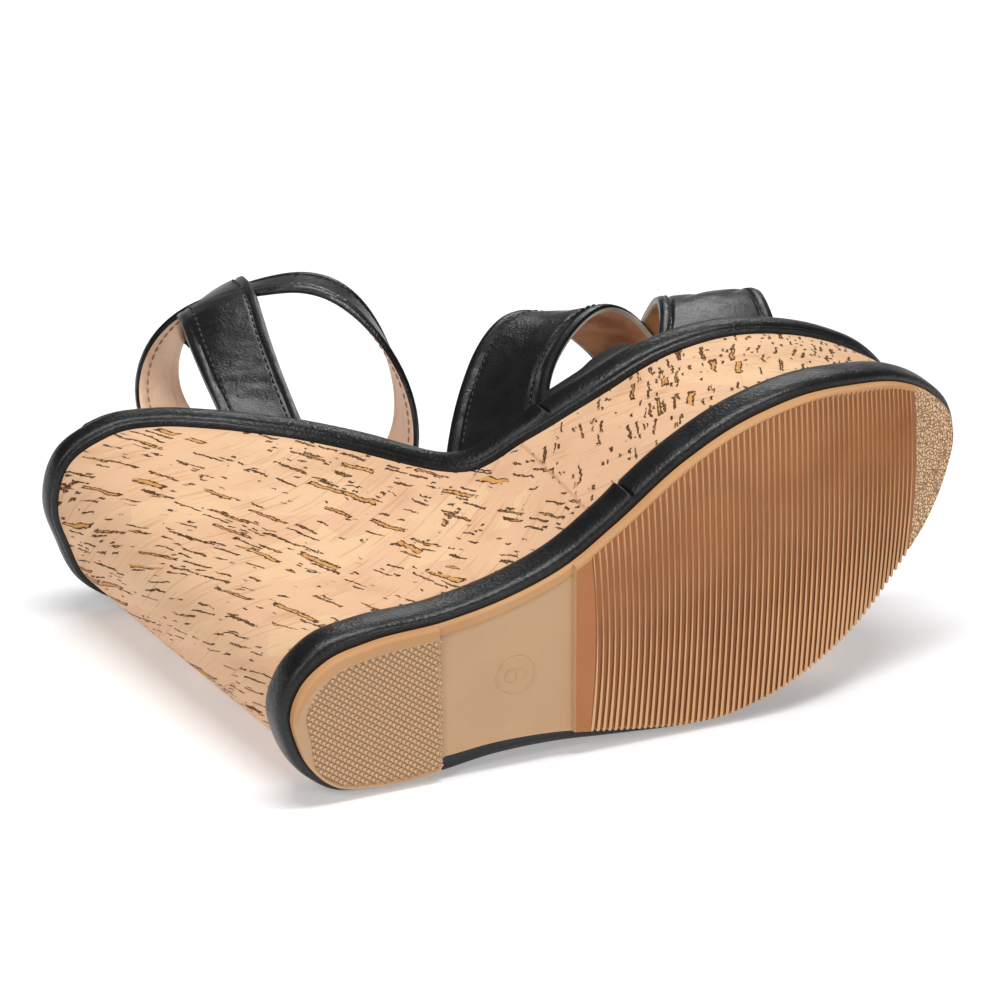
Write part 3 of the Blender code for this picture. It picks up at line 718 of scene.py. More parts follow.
# Upper board: a small bead along its lower edge, then the main roll
upperRoll = {
    "profile": ((-0.3, 0.0), (0.25, 0.02), (0.52, 0.06), (0.60, 0.11), (0.50, 0.155), (0.42, 0.175),
                (0.66, 0.22), (0.88, 0.32), (0.98, 0.46), (0.96, 0.62), (0.80, 0.78), (0.58, 0.88),
                (0.44, 0.925), (0.30, 0.945), (0.10, 0.985), (-0.4, 1.0)),
    "rings": 34,
    "seam": (95.4 * mm, 0.9 * mm, 3.0),
}
upperRings = []
for out, up in denseProfile(upperRoll["profile"], upperRoll["rings"]):
    joint = seamLift(bedX, *upperRoll["seam"]) * window(up, (0.18, 0.3), (0.94, 1.0))
    offset = out * soleSizes["boardRoll"]
    lift = gap + up * soleSizes["bedThick"]
    upperRings.append(bedRing((offset + 0 * joint, offset + joint), lift))
upperBoard = loftBody("bedRoll", upperRings, 8, rollLeather)
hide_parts("bed_board")

# Insole with a rounded lip
insoleShape = {
    "profile": ((0.0, 0.0), (0.18, 0.08), (0.30, 0.3), (0.30, 0.62), (0.12, 0.88), (-0.35, 1.0),
                (-1.2, 1.02), (-1.7, 0.86), (-2.3, 0.98)),
    "rings": 16,
    # stretches between the straps, in mm from the heel end, where the lip shows past the roll
    "openings": ((-4.0, 30.5, 0.3), (53.5, 70.5, 0.3), (96.5, 124.5, 2.3)),
    "lipOut": 2.6 * mm, "tab": (109.0, 120.5, 1.1),
}
alongBed = bedX / mm
lipOut = np.zeros_like(bedX)
lipRise = np.zeros_like(bedX)
for openAt, closeAt, rise in insoleShape["openings"]:
    opened = window(alongBed, (openAt, openAt + 3), (closeAt - 3, closeAt))
    lipOut += opened * insoleShape["lipOut"]
    lipRise += opened * rise * mm
tabFrom, tabTo, tabRise = insoleShape["tab"]
lipRise += tabRise * mm * window(alongBed, (tabFrom, tabFrom + 5), (tabTo, tabTo + 1))
insoleThick = soleSizes["insoleThick"]


def insoleRing(offset, lift):
    reach = offset - soleSizes["insoleInset"]
    sides = bedRing((reach + 0 * lipOut, reach + lipOut), gap + soleSizes["bedThick"])
    near = smoothStep(offset, -2.0 * insoleThick, -0.3 * insoleThick)
    made = []
    for ring, edge, grown in zip(sides, (bedEdges.outer, bedEdges.inner), (0.0, 1.0)):
        ring = ring.copy()
        ring[:, 2] = bedUpper(ring[:, 0], ring[:, 1]) + soleSizes["insoleGap"]
        rise = lift + grown * near * (lift / insoleThick) * lipRise
        made.append(ring + bedDirection(edge[:, 0], edge[:, 1]) * np.reshape(rise, (-1, 1)))
    return made


insoleRings = [insoleRing(out * insoleThick, up * insoleThick)
         for out, up in denseProfile(insoleShape["profile"], insoleShape["rings"])]
insoleBody = loftBody("insoleBody", insoleRings, 10, insoleLeather)
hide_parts("insole")
print("boards, cork and insole ready")

# Outsole: smooth heel pad with a lattice inset, sunk shank, ribs across the ball, pebbled toe
tread = {
    "padFront": 39.2 * mm, "ballStart": 75.9 * mm,
    "firstRib": 80.4 * mm, "ribs": 59, "ribPitch": 1.676 * mm, "ribDepth": 0.55 * mm,
    "bow": 1.3 * mm, "waistTrim": 3.4 * mm, "columns": 34,
    "latticeSink": 0.7 * mm, "margin": 3.0 * mm, "grooveInset": 3.0 * mm,
    "shankSink": 1.2 * mm, "panelSink": 0.25 * mm, "grooveDepth": 0.5 * mm, "grooveWide": 0.38 * mm,
    "ribCut": 0.5 * mm, "ballRim": 0.8 * mm, "heelRim": 2.4 * mm, "fineFrom": 0.86,
    # stations over one rib, its raised stretch, and the stretches of its painted highlight (top and
    # heel-facing side) and painted shade (toe-facing side)
    "ribPhases": (0.02, 0.09, 0.25, 0.33, 0.66), "ridge": (0.05, 0.29), "topEnd": 0.26,
    "side": (0.01, 0.34),
    # the rounded edge as inset and height above the tread
    "edge": ((0.0, 0.7 * mm), (0.12 * mm, 0.3 * mm), (0.38 * mm, 0.08 * mm), (0.7 * mm, 0.0)),
}
padFront, ballStart, firstRib, ribPitch = (
    tread[key] for key in ("padFront", "ballStart", "firstRib", "ribPitch"))
ribEnd = firstRib + tread["ribs"] * ribPitch
stationList = list(np.linspace(sole.low + 0.02 * mm, 1.4 * mm, 14)) + [sole.low]
stationList += list(np.arange(1.8 * mm, padFront - 0.2 * mm, 0.62 * mm))
stationList += [padFront - 0.15 * mm, padFront + 0.15 * mm]
stationList += list(np.arange(padFront + 1.2 * mm, ballStart - 0.5 * mm, 1.4 * mm))
stationList += [ballStart - 0.12 * mm, ballStart + 0.12 * mm]
stationList += [78.0 * mm, firstRib - 0.2 * mm]
for rib in range(tread["ribs"]):
    start = firstRib + rib * ribPitch
    stationList += [start + phase * ribPitch for phase in tread["ribPhases"]]
stationList += list(np.arange(ribEnd + 0.3 * mm, sole.high - 3.0 * mm, 1.0 * mm))
tipShare = np.linspace(0, 1, 12)[:-1]
stationList += list(sole.high - 3.0 * mm * (1 - tipShare) ** 2) + [sole.high]
soleX = np.array(sorted(set(stationList)))
trimFade = np.clip((0.55 - soleX / soleLength) / (0.55 - 0.2005), 0, 1)
trimFade *= smoothStep(soleX, padFront, padFront + 0.3 * mm)
innerY = sole.inner(soleX)
ribPhase = (soleX - firstRib) / ribPitch
inRibs = (ribPhase > 0) & (ribPhase < tread["ribs"])
phase = ribPhase - np.floor(ribPhase)
onRidge = (phase > tread["ridge"][0]) & (phase < tread["ridge"][1])
valley = np.where(inRibs & ~onRidge, 1.0, 0.0)
outerY = sole.outer(soleX) - tread["waistTrim"] * trimFade - valley * tread["ribCut"]
soleEdges = Edges(soleX, outerY, innerY)
waist = (soleX > padFront) & (soleX < ballStart)
level = np.where(waist, tread["shankSink"], 0.0)
ribSink = valley * tread["ribDepth"]


def edgeDistance(points):
    # distance of level points to the outsole's outline
    loop = np.vstack((soleEdges.outer, soleEdges.inner[::-1]))
    away = np.full(len(points), 1.0)
    for start in range(0, len(loop) - 1, 3):
        a = loop[start]
        b = loop[min(start + 3, len(loop) - 1)]
        along = b - a
        share = np.clip(((points - a) @ along) / max(along @ along, 1e-12), 0, 1)
        near = a + share[:, None] * along
        away = np.minimum(away, np.linalg.norm(points - near, axis=1))
    return away


def latticeDepth(points):
    # how far inside the lattice's border a point of the heel pad lies
    margin = tread["margin"] * (1 - smoothStep(points[:, 1], 3 * mm, 17 * mm)) + 0.3 * mm
    inside = edgeDistance(points) - margin
    return np.minimum(inside, padFront - 0.12 * mm - points[:, 0])


soleTop = soleSizes["outsoleThick"]
halfway = 0.5 * (level + tread["edge"][0][1] + soleTop)
edgeRings = [levelRing(soleEdges, 0.0, height) for height in (soleTop, halfway)]
edgeRings += [levelRing(soleEdges, -inset, level + above) for inset, above in tread["edge"]]
for sides in edgeRings[2:]:
    sides[0][:, 2] += ribSink
outerRim, innerRim = edgeRings[-1]
across = np.concatenate((np.linspace(0, tread["fineFrom"], tread["columns"])[1:],
                         np.linspace(tread["fineFrom"], 1.0, 20)[1:-1]))
floorColumns = []
for share in across:
    point = outerRim + (innerRim - outerRim) * share
    bow = tread["bow"] * (1 - (2 * share - 1) ** 2)
    point[:, 0] += bow * window(soleX, (ballStart, firstRib), (ribEnd, ribEnd + 4 * mm))
    sink = smoothStep(latticeDepth(point[:, :2]), -0.1 * mm, 0.35 * mm) * tread["latticeSink"]
    point[:, 2] += sink * (soleX < padFront)
    fromInner = point[:, 1] - innerY
    groove = bellShape(fromInner, tread["grooveInset"], tread["grooveWide"]) * tread["grooveDepth"]
    panel = smoothStep(fromInner, tread["grooveInset"], tread["grooveInset"] + 0.6 * mm)
    point[:, 2] += (groove + panel * tread["panelSink"]) * waist
    point[:, 2] += ribSink * (smoothStep(fromInner, 0.8 * mm, 1.3 * mm) - (1 - share))
    floorColumns.append(point)
outerTop, innerTop = edgeRings[0]
backColumns = [innerTop + (outerTop - innerTop) * share for share in (0.25, 0.5, 0.75)]
grid = np.stack([ring[0] for ring in edgeRings] + floorColumns
                + [ring[1] for ring in edgeRings[::-1]] + backColumns + [outerTop], axis=1)
middleX = (soleX[:-1] + soleX[1:]) / 2
onRib = (middleX > firstRib) & (middleX < ribEnd)
middlePhase = (middleX - firstRib) / ribPitch % 1
# rib tops and heel-facing sides get the painted highlight, toe-facing sides the painted shade, the
# floor between them the rubber's own colour
onTop = middlePhase < tread["topEnd"]
onSide = (middlePhase > tread["side"][0]) & (middlePhase < tread["side"][1])
stripe = np.where(onTop, ribPaintedHighlightSlot, np.where(onSide, ribPaintedShadeSlot, ribFloorSlot))
stripe = np.where(onRib, stripe, tanSlot)
stripe = np.where((middleX > ballStart) & ~onRib & (middleX < ribEnd), bandSlot, stripe)
stripe = np.where(middleX >= ribEnd, toeSlot, stripe)[:, None]
slots = np.repeat(stripe, grid.shape[1] - 1, axis=1)
# the rim keeps one smooth colour down the inner side
width = (outerRim[:, 1] - innerRim[:, 1])[:-1]
floorStart = len(edgeRings)
wallStart = floorStart + len(across) - 1
for column, share in enumerate((across[:-1] + across[1:]) / 2):
    nearEdge = (1 - share) * width
    rim = (nearEdge < tread["ballRim"]) & (middleX > ballStart + 0.2 * mm)
    rim = rim & (middleX < ribEnd)
    rim = rim | ((nearEdge < tread["heelRim"]) & (middleX < ballStart))
    slots[:, floorStart + column] = np.where(rim, rimSlot, stripe[:, 0])
slots[:, wallStart:] = rimSlot
toeEdge = slice(wallStart, wallStart + 4)
slots[:, toeEdge] = np.where(stripe == toeSlot, toeSlot, slots[:, toeEdge])
slots[:, :3] = np.where(stripe == tanSlot, rimSlot, slots[:, :3])
outsoleBody = addGrid("outsoleBody", grid, treadFinishes, slots, smooth=32)
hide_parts("outsole")

# Heel lattice: small pyramids in rows set on the diagonal
lattice = {
    "pitch": 1.32 * mm, "height": 0.72 * mm, "turn": 38.0, "backing": 0.4 * mm,
    "extent": 66.0 * mm, "middle": (19.5 * mm, 2.5 * mm), "lift": 0.12 * mm, "tuck": 0.5 * mm,
    "keepOut": 1.1 * mm,
}
pitch = lattice["pitch"]
count = int(lattice["extent"] / (pitch / 2))
steps = (np.arange(count) - count // 2) * (pitch / 2)
alongRows, acrossRows = np.meshgrid(steps, steps, indexing="ij")
slant = math.radians(lattice["turn"])
latticeX = lattice["middle"][0] + alongRows * math.cos(slant) - acrossRows * math.sin(slant)
latticeY = lattice["middle"][1] + alongRows * math.sin(slant) + acrossRows * math.cos(slant)
odd = np.arange(count) % 2 == 1
peak = odd[:, None] & odd[None, :]
depth = latticeDepth(np.column_stack((latticeX.ravel(), latticeY.ravel()))).reshape(alongRows.shape)
insideSole = (latticeY > sole.inner(latticeX)) & (latticeY < sole.outer(latticeX))
depth = np.where(insideSole & (latticeX > 0.5 * mm), depth, -3 * mm)
rise = np.where(peak, lattice["height"], 0.0) * smoothStep(depth, -0.1 * mm, 0.5 * mm)
height = tread["latticeSink"] - lattice["lift"] - rise
height = height + np.where(depth < -0.2 * mm, lattice["tuck"], 0.0)
points = np.stack((latticeX, latticeY, height), axis=2)
squares = np.stack((alongRows, acrossRows), axis=2) / pitch + 0.5 * (1 - count // 2 % 2)
heelLattice = addGrid("heelLattice", points, [latticeRubberPaintedShade], uv=squares, smooth=10,
                      closedShell=False)
bpy.ops.object.mode_set(mode="EDIT")
bpy.ops.mesh.select_all(action="DESELECT")
bpy.ops.object.mode_set(mode="OBJECT")
heelLattice.data.vertices.foreach_set("select", (depth <= -lattice["keepOut"]).ravel())
bpy.ops.object.mode_set(mode="EDIT")
bpy.ops.mesh.delete(type="VERT")
bpy.ops.object.mode_set(mode="OBJECT")
back = heelLattice.modifiers.new("backing", "SOLIDIFY")
back.thickness = lattice["backing"]
back.offset = -1.0
bpy.ops.object.modifier_apply(modifier=back.name)
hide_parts("outsole")

# Ring and size figure moulded on the shank
mark = {
    "centre": (60.1 * mm, 1.3 * mm), "ring": 5.2 * mm, "bead": 0.24 * mm, "line": 0.2 * mm,
    "steps": 90, "sides": 10,
    # the figure 6 as one line, across and up in mm
    "figure": ((1.45, 1.7), (1.0, 2.55), (0.1, 2.9), (-0.95, 2.35), (-1.5, 0.9), (-1.7, -0.9),
               (-1.35, -2.2), (0.0, -2.85), (1.35, -2.3), (1.75, -1.2), (1.35, -0.1), (0.1, 0.4),
               (-1.1, -0.1), (-1.6, -1.0)),
}
shankLevel = tread["shankSink"] + tread["panelSink"]


def onShank(across, up, rise):
    # from the mark's own plane, across to the outer side and up to the toe, down on to the shank
    return np.column_stack((mark["centre"][0] + up, mark["centre"][1] + across, shankLevel - rise))


bpy.ops.object.select_all(action="DESELECT")
bpy.ops.mesh.primitive_torus_add(major_segments=72, minor_segments=12,
                                 major_radius=mark["ring"], minor_radius=mark["bead"])
sizeRing = asPiece("sizeRing", [tanRubber])
ringCoordinates = place(onShank(*vertexPoints(sizeRing).T))
sizeRing.data.vertices.foreach_set("co", ringCoordinates.ravel())
sizeRing.data.update()
bpy.ops.object.shade_smooth()
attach(sizeRing, "root")
line = denseProfile(np.array(mark["figure"]) * mm, mark["steps"])
ahead = unit(np.gradient(line, axis=0))
aside = np.column_stack((-ahead[:, 1], ahead[:, 0]))
thin = mark["line"] * np.minimum(1, 4 * np.sin(np.linspace(0, np.pi, mark["steps"])))
tube = []
for angle in np.linspace(0, 2 * math.pi, mark["sides"] + 1):
    flat = line + aside * (math.cos(angle) * thin)[:, None]
    tube.append(onShank(flat[:, 0], flat[:, 1], math.sin(angle) * thin))
sizeFigure = addGrid("sizeFigure", np.stack(tube, axis=1), [tanRubber])
print("outsole ready")

# Straps: shared sizes and the foot's form under the bands
strapSizes = {
    "thick": 1.9 * mm, "inset": 0.8 * mm, "footGap": 0.4 * mm, "formRise": 88.3 * mm,
    "formPower": 2.5, "outerBulge": 0.3,
    "sinkUnder": 2.5 * mm, "footDown": 1.4 * mm,
    # where a band dips to pass under the other, in shares of its length
    "dip": ((0.30, 0.48), (0.86, 0.98)),
}
footForm = np.array((
    (0.346, 1.000, 21.1, 0.301),
    (0.501, 0.784, 36.7, 0.153),
    (0.656, 0.553, 36.4, 0.055),
    (0.855, 0.385, 15.3, 0.043),
))


def formSurface(x, turn):
    at = x / soleLength
    tall = tableAt(footForm, at) * strapSizes["formRise"]
    lean = np.radians(tableAt(footForm, at, 2))
    bulge = tableAt(footForm, at, 3) * ballWidth
    bulge = bulge * np.where(turn < math.pi / 2, 1.0, strapSizes["outerBulge"])
    power = 2 / strapSizes["formPower"]
    across = np.sign(np.cos(turn)) * np.abs(np.cos(turn)) ** power
    up = np.abs(np.sin(turn)) ** power
    blend = (1 - across) / 2
    innerY = innerEdge(x) + strapSizes["inset"]
    outerY = outerEdge(x) - strapSizes["inset"]
    innerZ = bedUpper(x, innerY) + strapSizes["footGap"]
    outerZ = bedUpper(x, outerY) + strapSizes["footGap"]
    y = innerY * (1 - blend) + outerY * blend - bulge * np.sin(2 * turn)
    z = innerZ * (1 - blend) + outerZ * blend + tall * up * np.cos(lean)
    return np.column_stack((x + tall * up * np.sin(lean), y, z))


def alongRun(at, run, points):
    return np.column_stack([np.interp(at, run, points[:, k]) for k in range(3)])


def evenPath(points, count):
    run = arcLength(points)
    return alongRun(np.linspace(0.0, run[-1], count + 1), run, points)


def gridNormals(grid):
    return unit(np.cross(np.gradient(grid, axis=0), np.gradient(grid, axis=1)))


def creaseField(shape, creases):
    # creases as (along 0, across 0, along 1, across 1, width, depth) in shares of the strap
    rows, columns = shape
    u, v = np.meshgrid(np.linspace(0, 1, rows), np.linspace(0, 1, columns), indexing="ij")
    field = np.zeros(shape)
    longer = 4.0
    for u0, v0, u1, v1, width, depth in creases:
        du, dv = (u1 - u0) * longer, v1 - v0
        ahead, aside = (u - u0) * longer, v - v0
        share = np.clip((ahead * du + aside * dv) / (du * du + dv * dv), 0, 1)
        away = np.hypot(ahead - share * du, aside - share * dv)
        taper = np.sin(np.pi * np.clip(share, 0.02, 0.98)) ** 0.5
        field += depth * taper * bellShape(away, 0.0, width)
    return field * mm


def strapShell(name, face, normal, thick, materials, relief, insideRelief=None, closed=False,
               rimSlots=(0, 0), rimStrips=2, insideSlots=None):
    # face is the outer surface as rows along the strap by columns across it; slots 0 to 2 are
    # the leather, the lining and the cut edge
    rows, columns = face.shape[:2]
    outside = face + normal * relief[..., None]
    under = np.zeros((rows, columns)) if insideRelief is None else insideRelief
    inside = face - normal * (thick + under)[..., None]
    rimColumns = []
    for column, beside in ((-1, -2), (0, 1)):
        outward = unit(face[:, column] - face[:, beside])
        edgeThick = np.linalg.norm(outside[:, column] - inside[:, column], axis=1)[:, None]
        rim = []
        for angle in np.radians((35, 90, 145)):
            mix = (1 - math.cos(angle)) / 2
            point = outside[:, column] * (1 - mix) + inside[:, column] * mix
            rim.append(point + outward * (math.sin(angle) * 0.5) * edgeThick)
        rimColumns.append(rim)
    frontRim, rearRim = rimColumns
    loop = [outside[:, k] for k in range(columns)] + frontRim
    loop += [inside[:, k] for k in range(columns - 1, -1, -1)] + rearRim[::-1] + [outside[:, 0]]
    grid = np.stack(loop, axis=1)
    if closed:
        grid = np.concatenate((grid, grid[:1]), axis=0)
    else:
        # each end closes on a line through the middle of the strap
        lines = []
        for end in (0, -1):
            insideEnd = grid[end, columns + 3:2 * columns + 3][::-1]
            middle = (grid[end, :columns] + insideEnd) / 2
            rim = np.ones((3, 1))
            lines.append(np.vstack((middle, rim * middle[-1], middle[::-1], rim * middle[0],
                                    middle[:1])))
        grid = np.concatenate((lines[:1], grid, lines[1:]), axis=0)
    slots = np.zeros((grid.shape[0] - 1, grid.shape[1] - 1), dtype=int)
    slots[:, columns + 3 - rimStrips:columns + 3] = rimSlots[1]
    slots[:, columns + 3:2 * columns + 2] = 1 if insideSlots is None else insideSlots[..., ::-1]
    slots[:, 2 * columns + 2:2 * columns + 2 + rimStrips] = rimSlots[0]
    item = addGrid(name, grid, materials, slots, smooth=45)
    return item


def addStitches(name, points, normal, look, skin):
    # one bead, copied along the row
    along = unit(np.gradient(points, axis=0))
    bpy.ops.object.select_all(action="DESELECT")
    made = []
    bpy.ops.mesh.primitive_uv_sphere_add(segments=8, ring_count=6, radius=0.5)
    bead = bpy.context.object
    shape = vertexPoints(bead) * (look["long"], look["wide"], look["high"])
    for point, ahead, up in zip(points, along, normal):
        copy = bead.copy()
        copy.data = bead.data.copy()
        bpy.context.collection.objects.link(copy)
        side = np.cross(up, ahead)
        frameAxes = np.stack((ahead, side, np.cross(ahead, side)))
        copy.data.vertices.foreach_set("co", place(shape @ frameAxes + point).ravel())
        copy.select_set(True)
        made.append(copy)
    bpy.data.objects.remove(bead)
    bpy.context.view_layer.objects.active = made[0]
    bpy.ops.object.join()
    row = asPiece(name, [skin])
    bpy.ops.object.shade_smooth()
    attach(row, "root")


def rowAt(face, normal, relief, share, start, end, pitch, lift):
    # points for a stitch row along a strap at one share of its width
    column = share * (face.shape[1] - 1)
    k = int(min(column, face.shape[1] - 2))
    part = column - k
    line, up, high = (values[:, k] * (1 - part) + values[:, k + 1] * part
                      for values in (face, normal, relief))
    up = unit(up)
    line = line + up * (high + lift)[:, None]
    rows = slice(int(start * (len(line) - 1)), int(end * (len(line) - 1)) + 1)
    line, up = line[rows], up[rows]
    run = arcLength(line)
    at = np.arange(pitch / 2, run[-1], pitch)
    return alongRun(at, run, line), unit(alongRun(at, run, up))


stitchLook = {
    "band": {"long": 1.8 * mm, "wide": 0.55 * mm, "high": 0.55 * mm, "pitch": 2.4 * mm},
    "quarter": {"long": 3.0 * mm, "wide": 0.75 * mm, "high": 0.7 * mm, "pitch": 3.9 * mm},
}


def sewRows(name, strap, shares, ends, lift, look=stitchLook["band"], skin=threadBlack, first=1):
    # stitch rows along a strap, given as its face, normals and relief, at shares of its width
    for k, share in enumerate(shares):
        points, ups = rowAt(*strap, share, *ends, look["pitch"], lift)
        addStitches(f"{name}{first + k}", points, ups, look, skin)


def bandFace(ends, sink, rows, columns, shifts=()):
    innerX = np.linspace(ends[0], ends[1], columns) * soleLength
    outerX = np.linspace(ends[2], ends[3], columns) * soleLength
    turn = np.linspace(0.0, math.pi, 400)
    drift = 0.25 * (1 - np.cos(turn)) + 0.5 * turn / math.pi
    grid = np.stack([evenPath(formSurface(a + (b - a) * drift, turn), rows - 1)
                     for a, b in zip(innerX, outerX)], axis=1)
    # shifts of an edge toward the toe: (edge 0 rear or 1 front, where along, how far, mm)
    along, across = np.meshgrid(np.linspace(0, 1, rows), np.linspace(0, 1, columns), indexing="ij")
    for edge, at, spread, move in shifts:
        share = across if edge else 1 - across
        grid[:, :, 0] += move * mm * share ** 1.5 * bellShape(along, at, spread)
    normal = gridNormals(grid)
    if normal[rows // 2, :, 2].mean() < 0:
        normal = -normal
    normal[[0, -1], :, 2] = 0.0
    normal = unit(normal)
    share = np.linspace(0.0, 1.0, rows)
    dip = window(share, *strapSizes["dip"]) * sink
    face = grid - normal * dip[:, None, None]
    for row in (0, -1):
        face[row, :, 2] = bedUpper(face[row, :, 0], face[row, :, 1]) - strapSizes["footDown"]
    return face, normal


def rearDistance(face):
    # from the strap's rear edge, in mm
    return np.stack([arcLength(row) for row in face]) / mm


def edgeFolds(face, folds):
    # ridges and grooves that run along the strap: (mm from the rear edge or from the front edge
    # as a negative number, width in mm, height in mm)
    fromRear = rearDistance(face)
    fromFront = fromRear[:, -1:] - fromRear
    relief = np.zeros(face.shape[:2])
    for at, wide, high in folds:
        relief += high * mm * bellShape(fromRear if at >= 0 else fromFront, abs(at), wide)
    return relief


# Instep band
instep = {
    "ends": (0.378, 0.474, 0.715, 0.818), "rows": 200, "columns": 60,
    "folds": ((2.6, 0.5, -0.45), (0.8, 0.9, 0.25), (-0.9, 0.9, 0.35), (-2.4, 0.40, -0.6),
              (-3.4, 0.6, 0.3), (-4.5, 0.35, -0.4)),
    "creases": ((0.16, 0.15, 0.24, 0.6, 0.16, -0.35), (0.30, 0.3, 0.40, 0.8, 0.12, -0.3),
                (0.40, 0.1, 0.48, 0.5, 0.10, -0.4)),
}
face, normal = bandFace(instep["ends"], strapSizes["sinkUnder"], instep["rows"], instep["columns"],
                        ((1, 0.0, 0.09, 3.6),))
relief = edgeFolds(face, instep["folds"]) + creaseField(face.shape[:2], instep["creases"])
insideFolds = creaseField(face.shape[:2], tuple(
    (at, 0.05, at + 0.03, 0.95, 0.05, -0.3 - 0.2 * (k % 2)) for k, at in
    enumerate(np.linspace(0.05, 0.95, 15))))
liningSlots = np.where((np.arange(instep["columns"] - 1) < 1), 2, 1)
bandLook = [strapLeather, brownLining, liningEdge]
instepBand = strapShell("instepBand", face, normal, strapSizes["thick"], bandLook, relief,
                        insideFolds, rimSlots=(0, 2), insideSlots=liningSlots)
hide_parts("instep_band")
sewRows("instepStitch", (face, normal, relief), (0.13, 0.86), (0.03, 0.97), 0.05 * mm)

# Toe band
toe = {
    "ends": (0.653, 0.819, 0.385, 0.577), "rows": 200, "columns": 80,
    "folds": ((0.8, 0.9, 0.3), (2.6, 0.5, -0.45), (-1.0, 0.9, 0.3), (-2.8, 0.45, -0.45)),
    "creases": ((0.10, 0.15, 0.26, 0.95, 0.05, -0.5), (0.18, 0.1, 0.33, 0.9, 0.04, -0.4),
                (0.28, 0.2, 0.40, 0.9, 0.05, -0.4), (0.05, 0.45, 0.16, 0.95, 0.04, -0.35),
                (0.38, 0.1, 0.55, 0.85, 0.06, -0.4)),
}
face, normal = bandFace(toe["ends"], 0.0, toe["rows"], toe["columns"], ((1, 0.2, 0.15, 4.2),))
relief = edgeFolds(face, toe["folds"]) + creaseField(face.shape[:2], toe["creases"])
toeBand = strapShell("toeBand", face, normal, strapSizes["thick"], bandLook, relief,
                     rimSlots=(2, 0))
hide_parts("toe_band")
sewRows("toeStitch", (face, normal, relief), (0.075, 0.925), (0.03, 0.97), 0.05 * mm)
print("bands ready")

# Ankle strap
ankle = {
    "spot": (0.390, -0.023), "lift": 52.8 * mm, "tilt": (42.3, 21.2, -4.1),
    "radii": (29.6 * mm, 34.0 * mm), "waves": (6.6 * mm, 3.0 * mm, -2.7 * mm, 1.5 * mm),
    "flare": (-3.4 * mm, -0.5 * mm, -5.3 * mm), "width": 14.8 * mm, "thick": 2.0 * mm,
    "clear": 0.6 * mm, "rows": 260, "columns": 26,
    "folds": ((0.7, 0.7, 0.2), (2.5, 0.5, -0.4), (-0.7, 0.7, 0.2), (-2.5, 0.5, -0.4)),
    "liningFolds": ((2.5, 0.5, -0.3), (-2.5, 0.5, -0.3)), "pucker": 0.10 * mm, "puckers": 78,
}
forward, sideways, turned = (math.radians(angle) for angle in ankle["tilt"])
ringAxis = np.array((math.sin(forward) * math.cos(sideways), math.sin(sideways),
                     math.cos(forward) * math.cos(sideways)))
ringAhead = np.array((math.cos(forward), 0.0, -math.sin(forward)))
ringAside = np.cross(ringAxis, ringAhead)
ringCentre = np.array((ankle["spot"][0] * soleLength, ankle["spot"][1] * ballWidth,
                       soleSizes["heelRise"] + ankle["lift"]))


def ringPoint(turn, side):
    waves, flare = ankle["waves"], ankle["flare"]
    wave = (waves[0] * np.cos(2 * turn) + waves[1] * np.sin(2 * turn)
            + waves[2] * np.cos(3 * turn) + waves[3] * np.sin(3 * turn)
            + side * (flare[0] + flare[1] * np.cos(turn) + flare[2] * np.sin(turn)))
    ahead = (ankle["radii"][0] + wave) * np.cos(turn)
    aside = (ankle["radii"][1] + wave) * np.sin(turn)
    u = ahead * math.cos(turned) - aside * math.sin(turned)
    v = ahead * math.sin(turned) + aside * math.cos(turned)
    rise = side * ankle["width"] / 2
    return ringCentre + np.outer(u, ringAhead) + np.outer(v, ringAside) + rise * ringAxis


def ringFrame(turn):
    middle = ringPoint(turn, 0.0)
    upward = ringPoint(turn, 1.0) - ringPoint(turn, -1.0)
    halfWidth = np.linalg.norm(upward, axis=1) / 2
    along = ringPoint(turn + 0.01, 0.0) - ringPoint(turn - 0.01, 0.0)
    return middle, unit(upward), unit(np.cross(along, upward)), halfWidth


turns = np.linspace(0, 2 * math.pi, ankle["rows"], endpoint=False)
sides = np.linspace(-1, 1, ankle["columns"])
face = np.stack([ringPoint(turns, side) for side in sides], axis=1)
outward = ringFrame(turns)[2]
normal = np.repeat(outward[:, None, :], ankle["columns"], axis=1)
face = face + normal * ankle["thick"] / 2
pucker = ankle["pucker"] * np.sin(turns * ankle["puckers"])[:, None]
relief = edgeFolds(face, ankle["folds"]) + pucker * bellShape(rearDistance(face), 2.5, 1.6)
ankleStrap = strapShell("ankleStrap", face, normal, ankle["thick"],
                        [strapLeather, paleLining, liningEdge], relief,
                        edgeFolds(face, ankle["liningFolds"]), closed=True, rimSlots=(1, 1),
                        rimStrips=1)
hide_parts("ankle_strap")
whole = (0.0, 1.0)
rearRow, frontRow = 0.17, 0.83
sewRows("ankleStitch", (face, normal, relief), (rearRow,), whole, 0.05 * mm)
liningSide = (face - normal * ankle["thick"], -normal, relief * 0)
sewRows("liningStitch", liningSide, (rearRow,), whole, 0.02 * mm, skin=threadTan)
sewRows("ankleStitch", (face, normal, relief), (frontRow,), whole, 0.05 * mm, first=2)

# Quarters: straps from the bed board up to a loop folded round the ankle strap
quarter = {
    "thick": 1.7 * mm, "columns": 34,
    "inner": ((0.172, 0.256), (0.590, 0.697)), "outer": ((0.166, 0.251), (0.385, 0.285)),
    "innerLean": 0.045, "outerLean": 0.0, "straight": 0.85,
    # rows up to the ankle strap, along its skin, round its edge and back down as a sewn tail
    "climbRows": 60, "skinRows": 14, "turnRows": 15, "tailRows": 12, "linedRows": 55,
    "loopShare": 0.86, "loopPower": 0.7, "softRows": slice(38, 74), "softPasses": 160,
    "folds": ((2.2, 0.45, -0.35), (-2.2, 0.45, -0.35)),
    "creases": ((0.13, 0.15, 0.16, 0.85, 0.07, -0.22), (0.22, 0.2, 0.25, 0.75, 0.06, -0.22),
                (0.07, 0.2, 0.09, 0.85, 0.06, -0.20)),
}


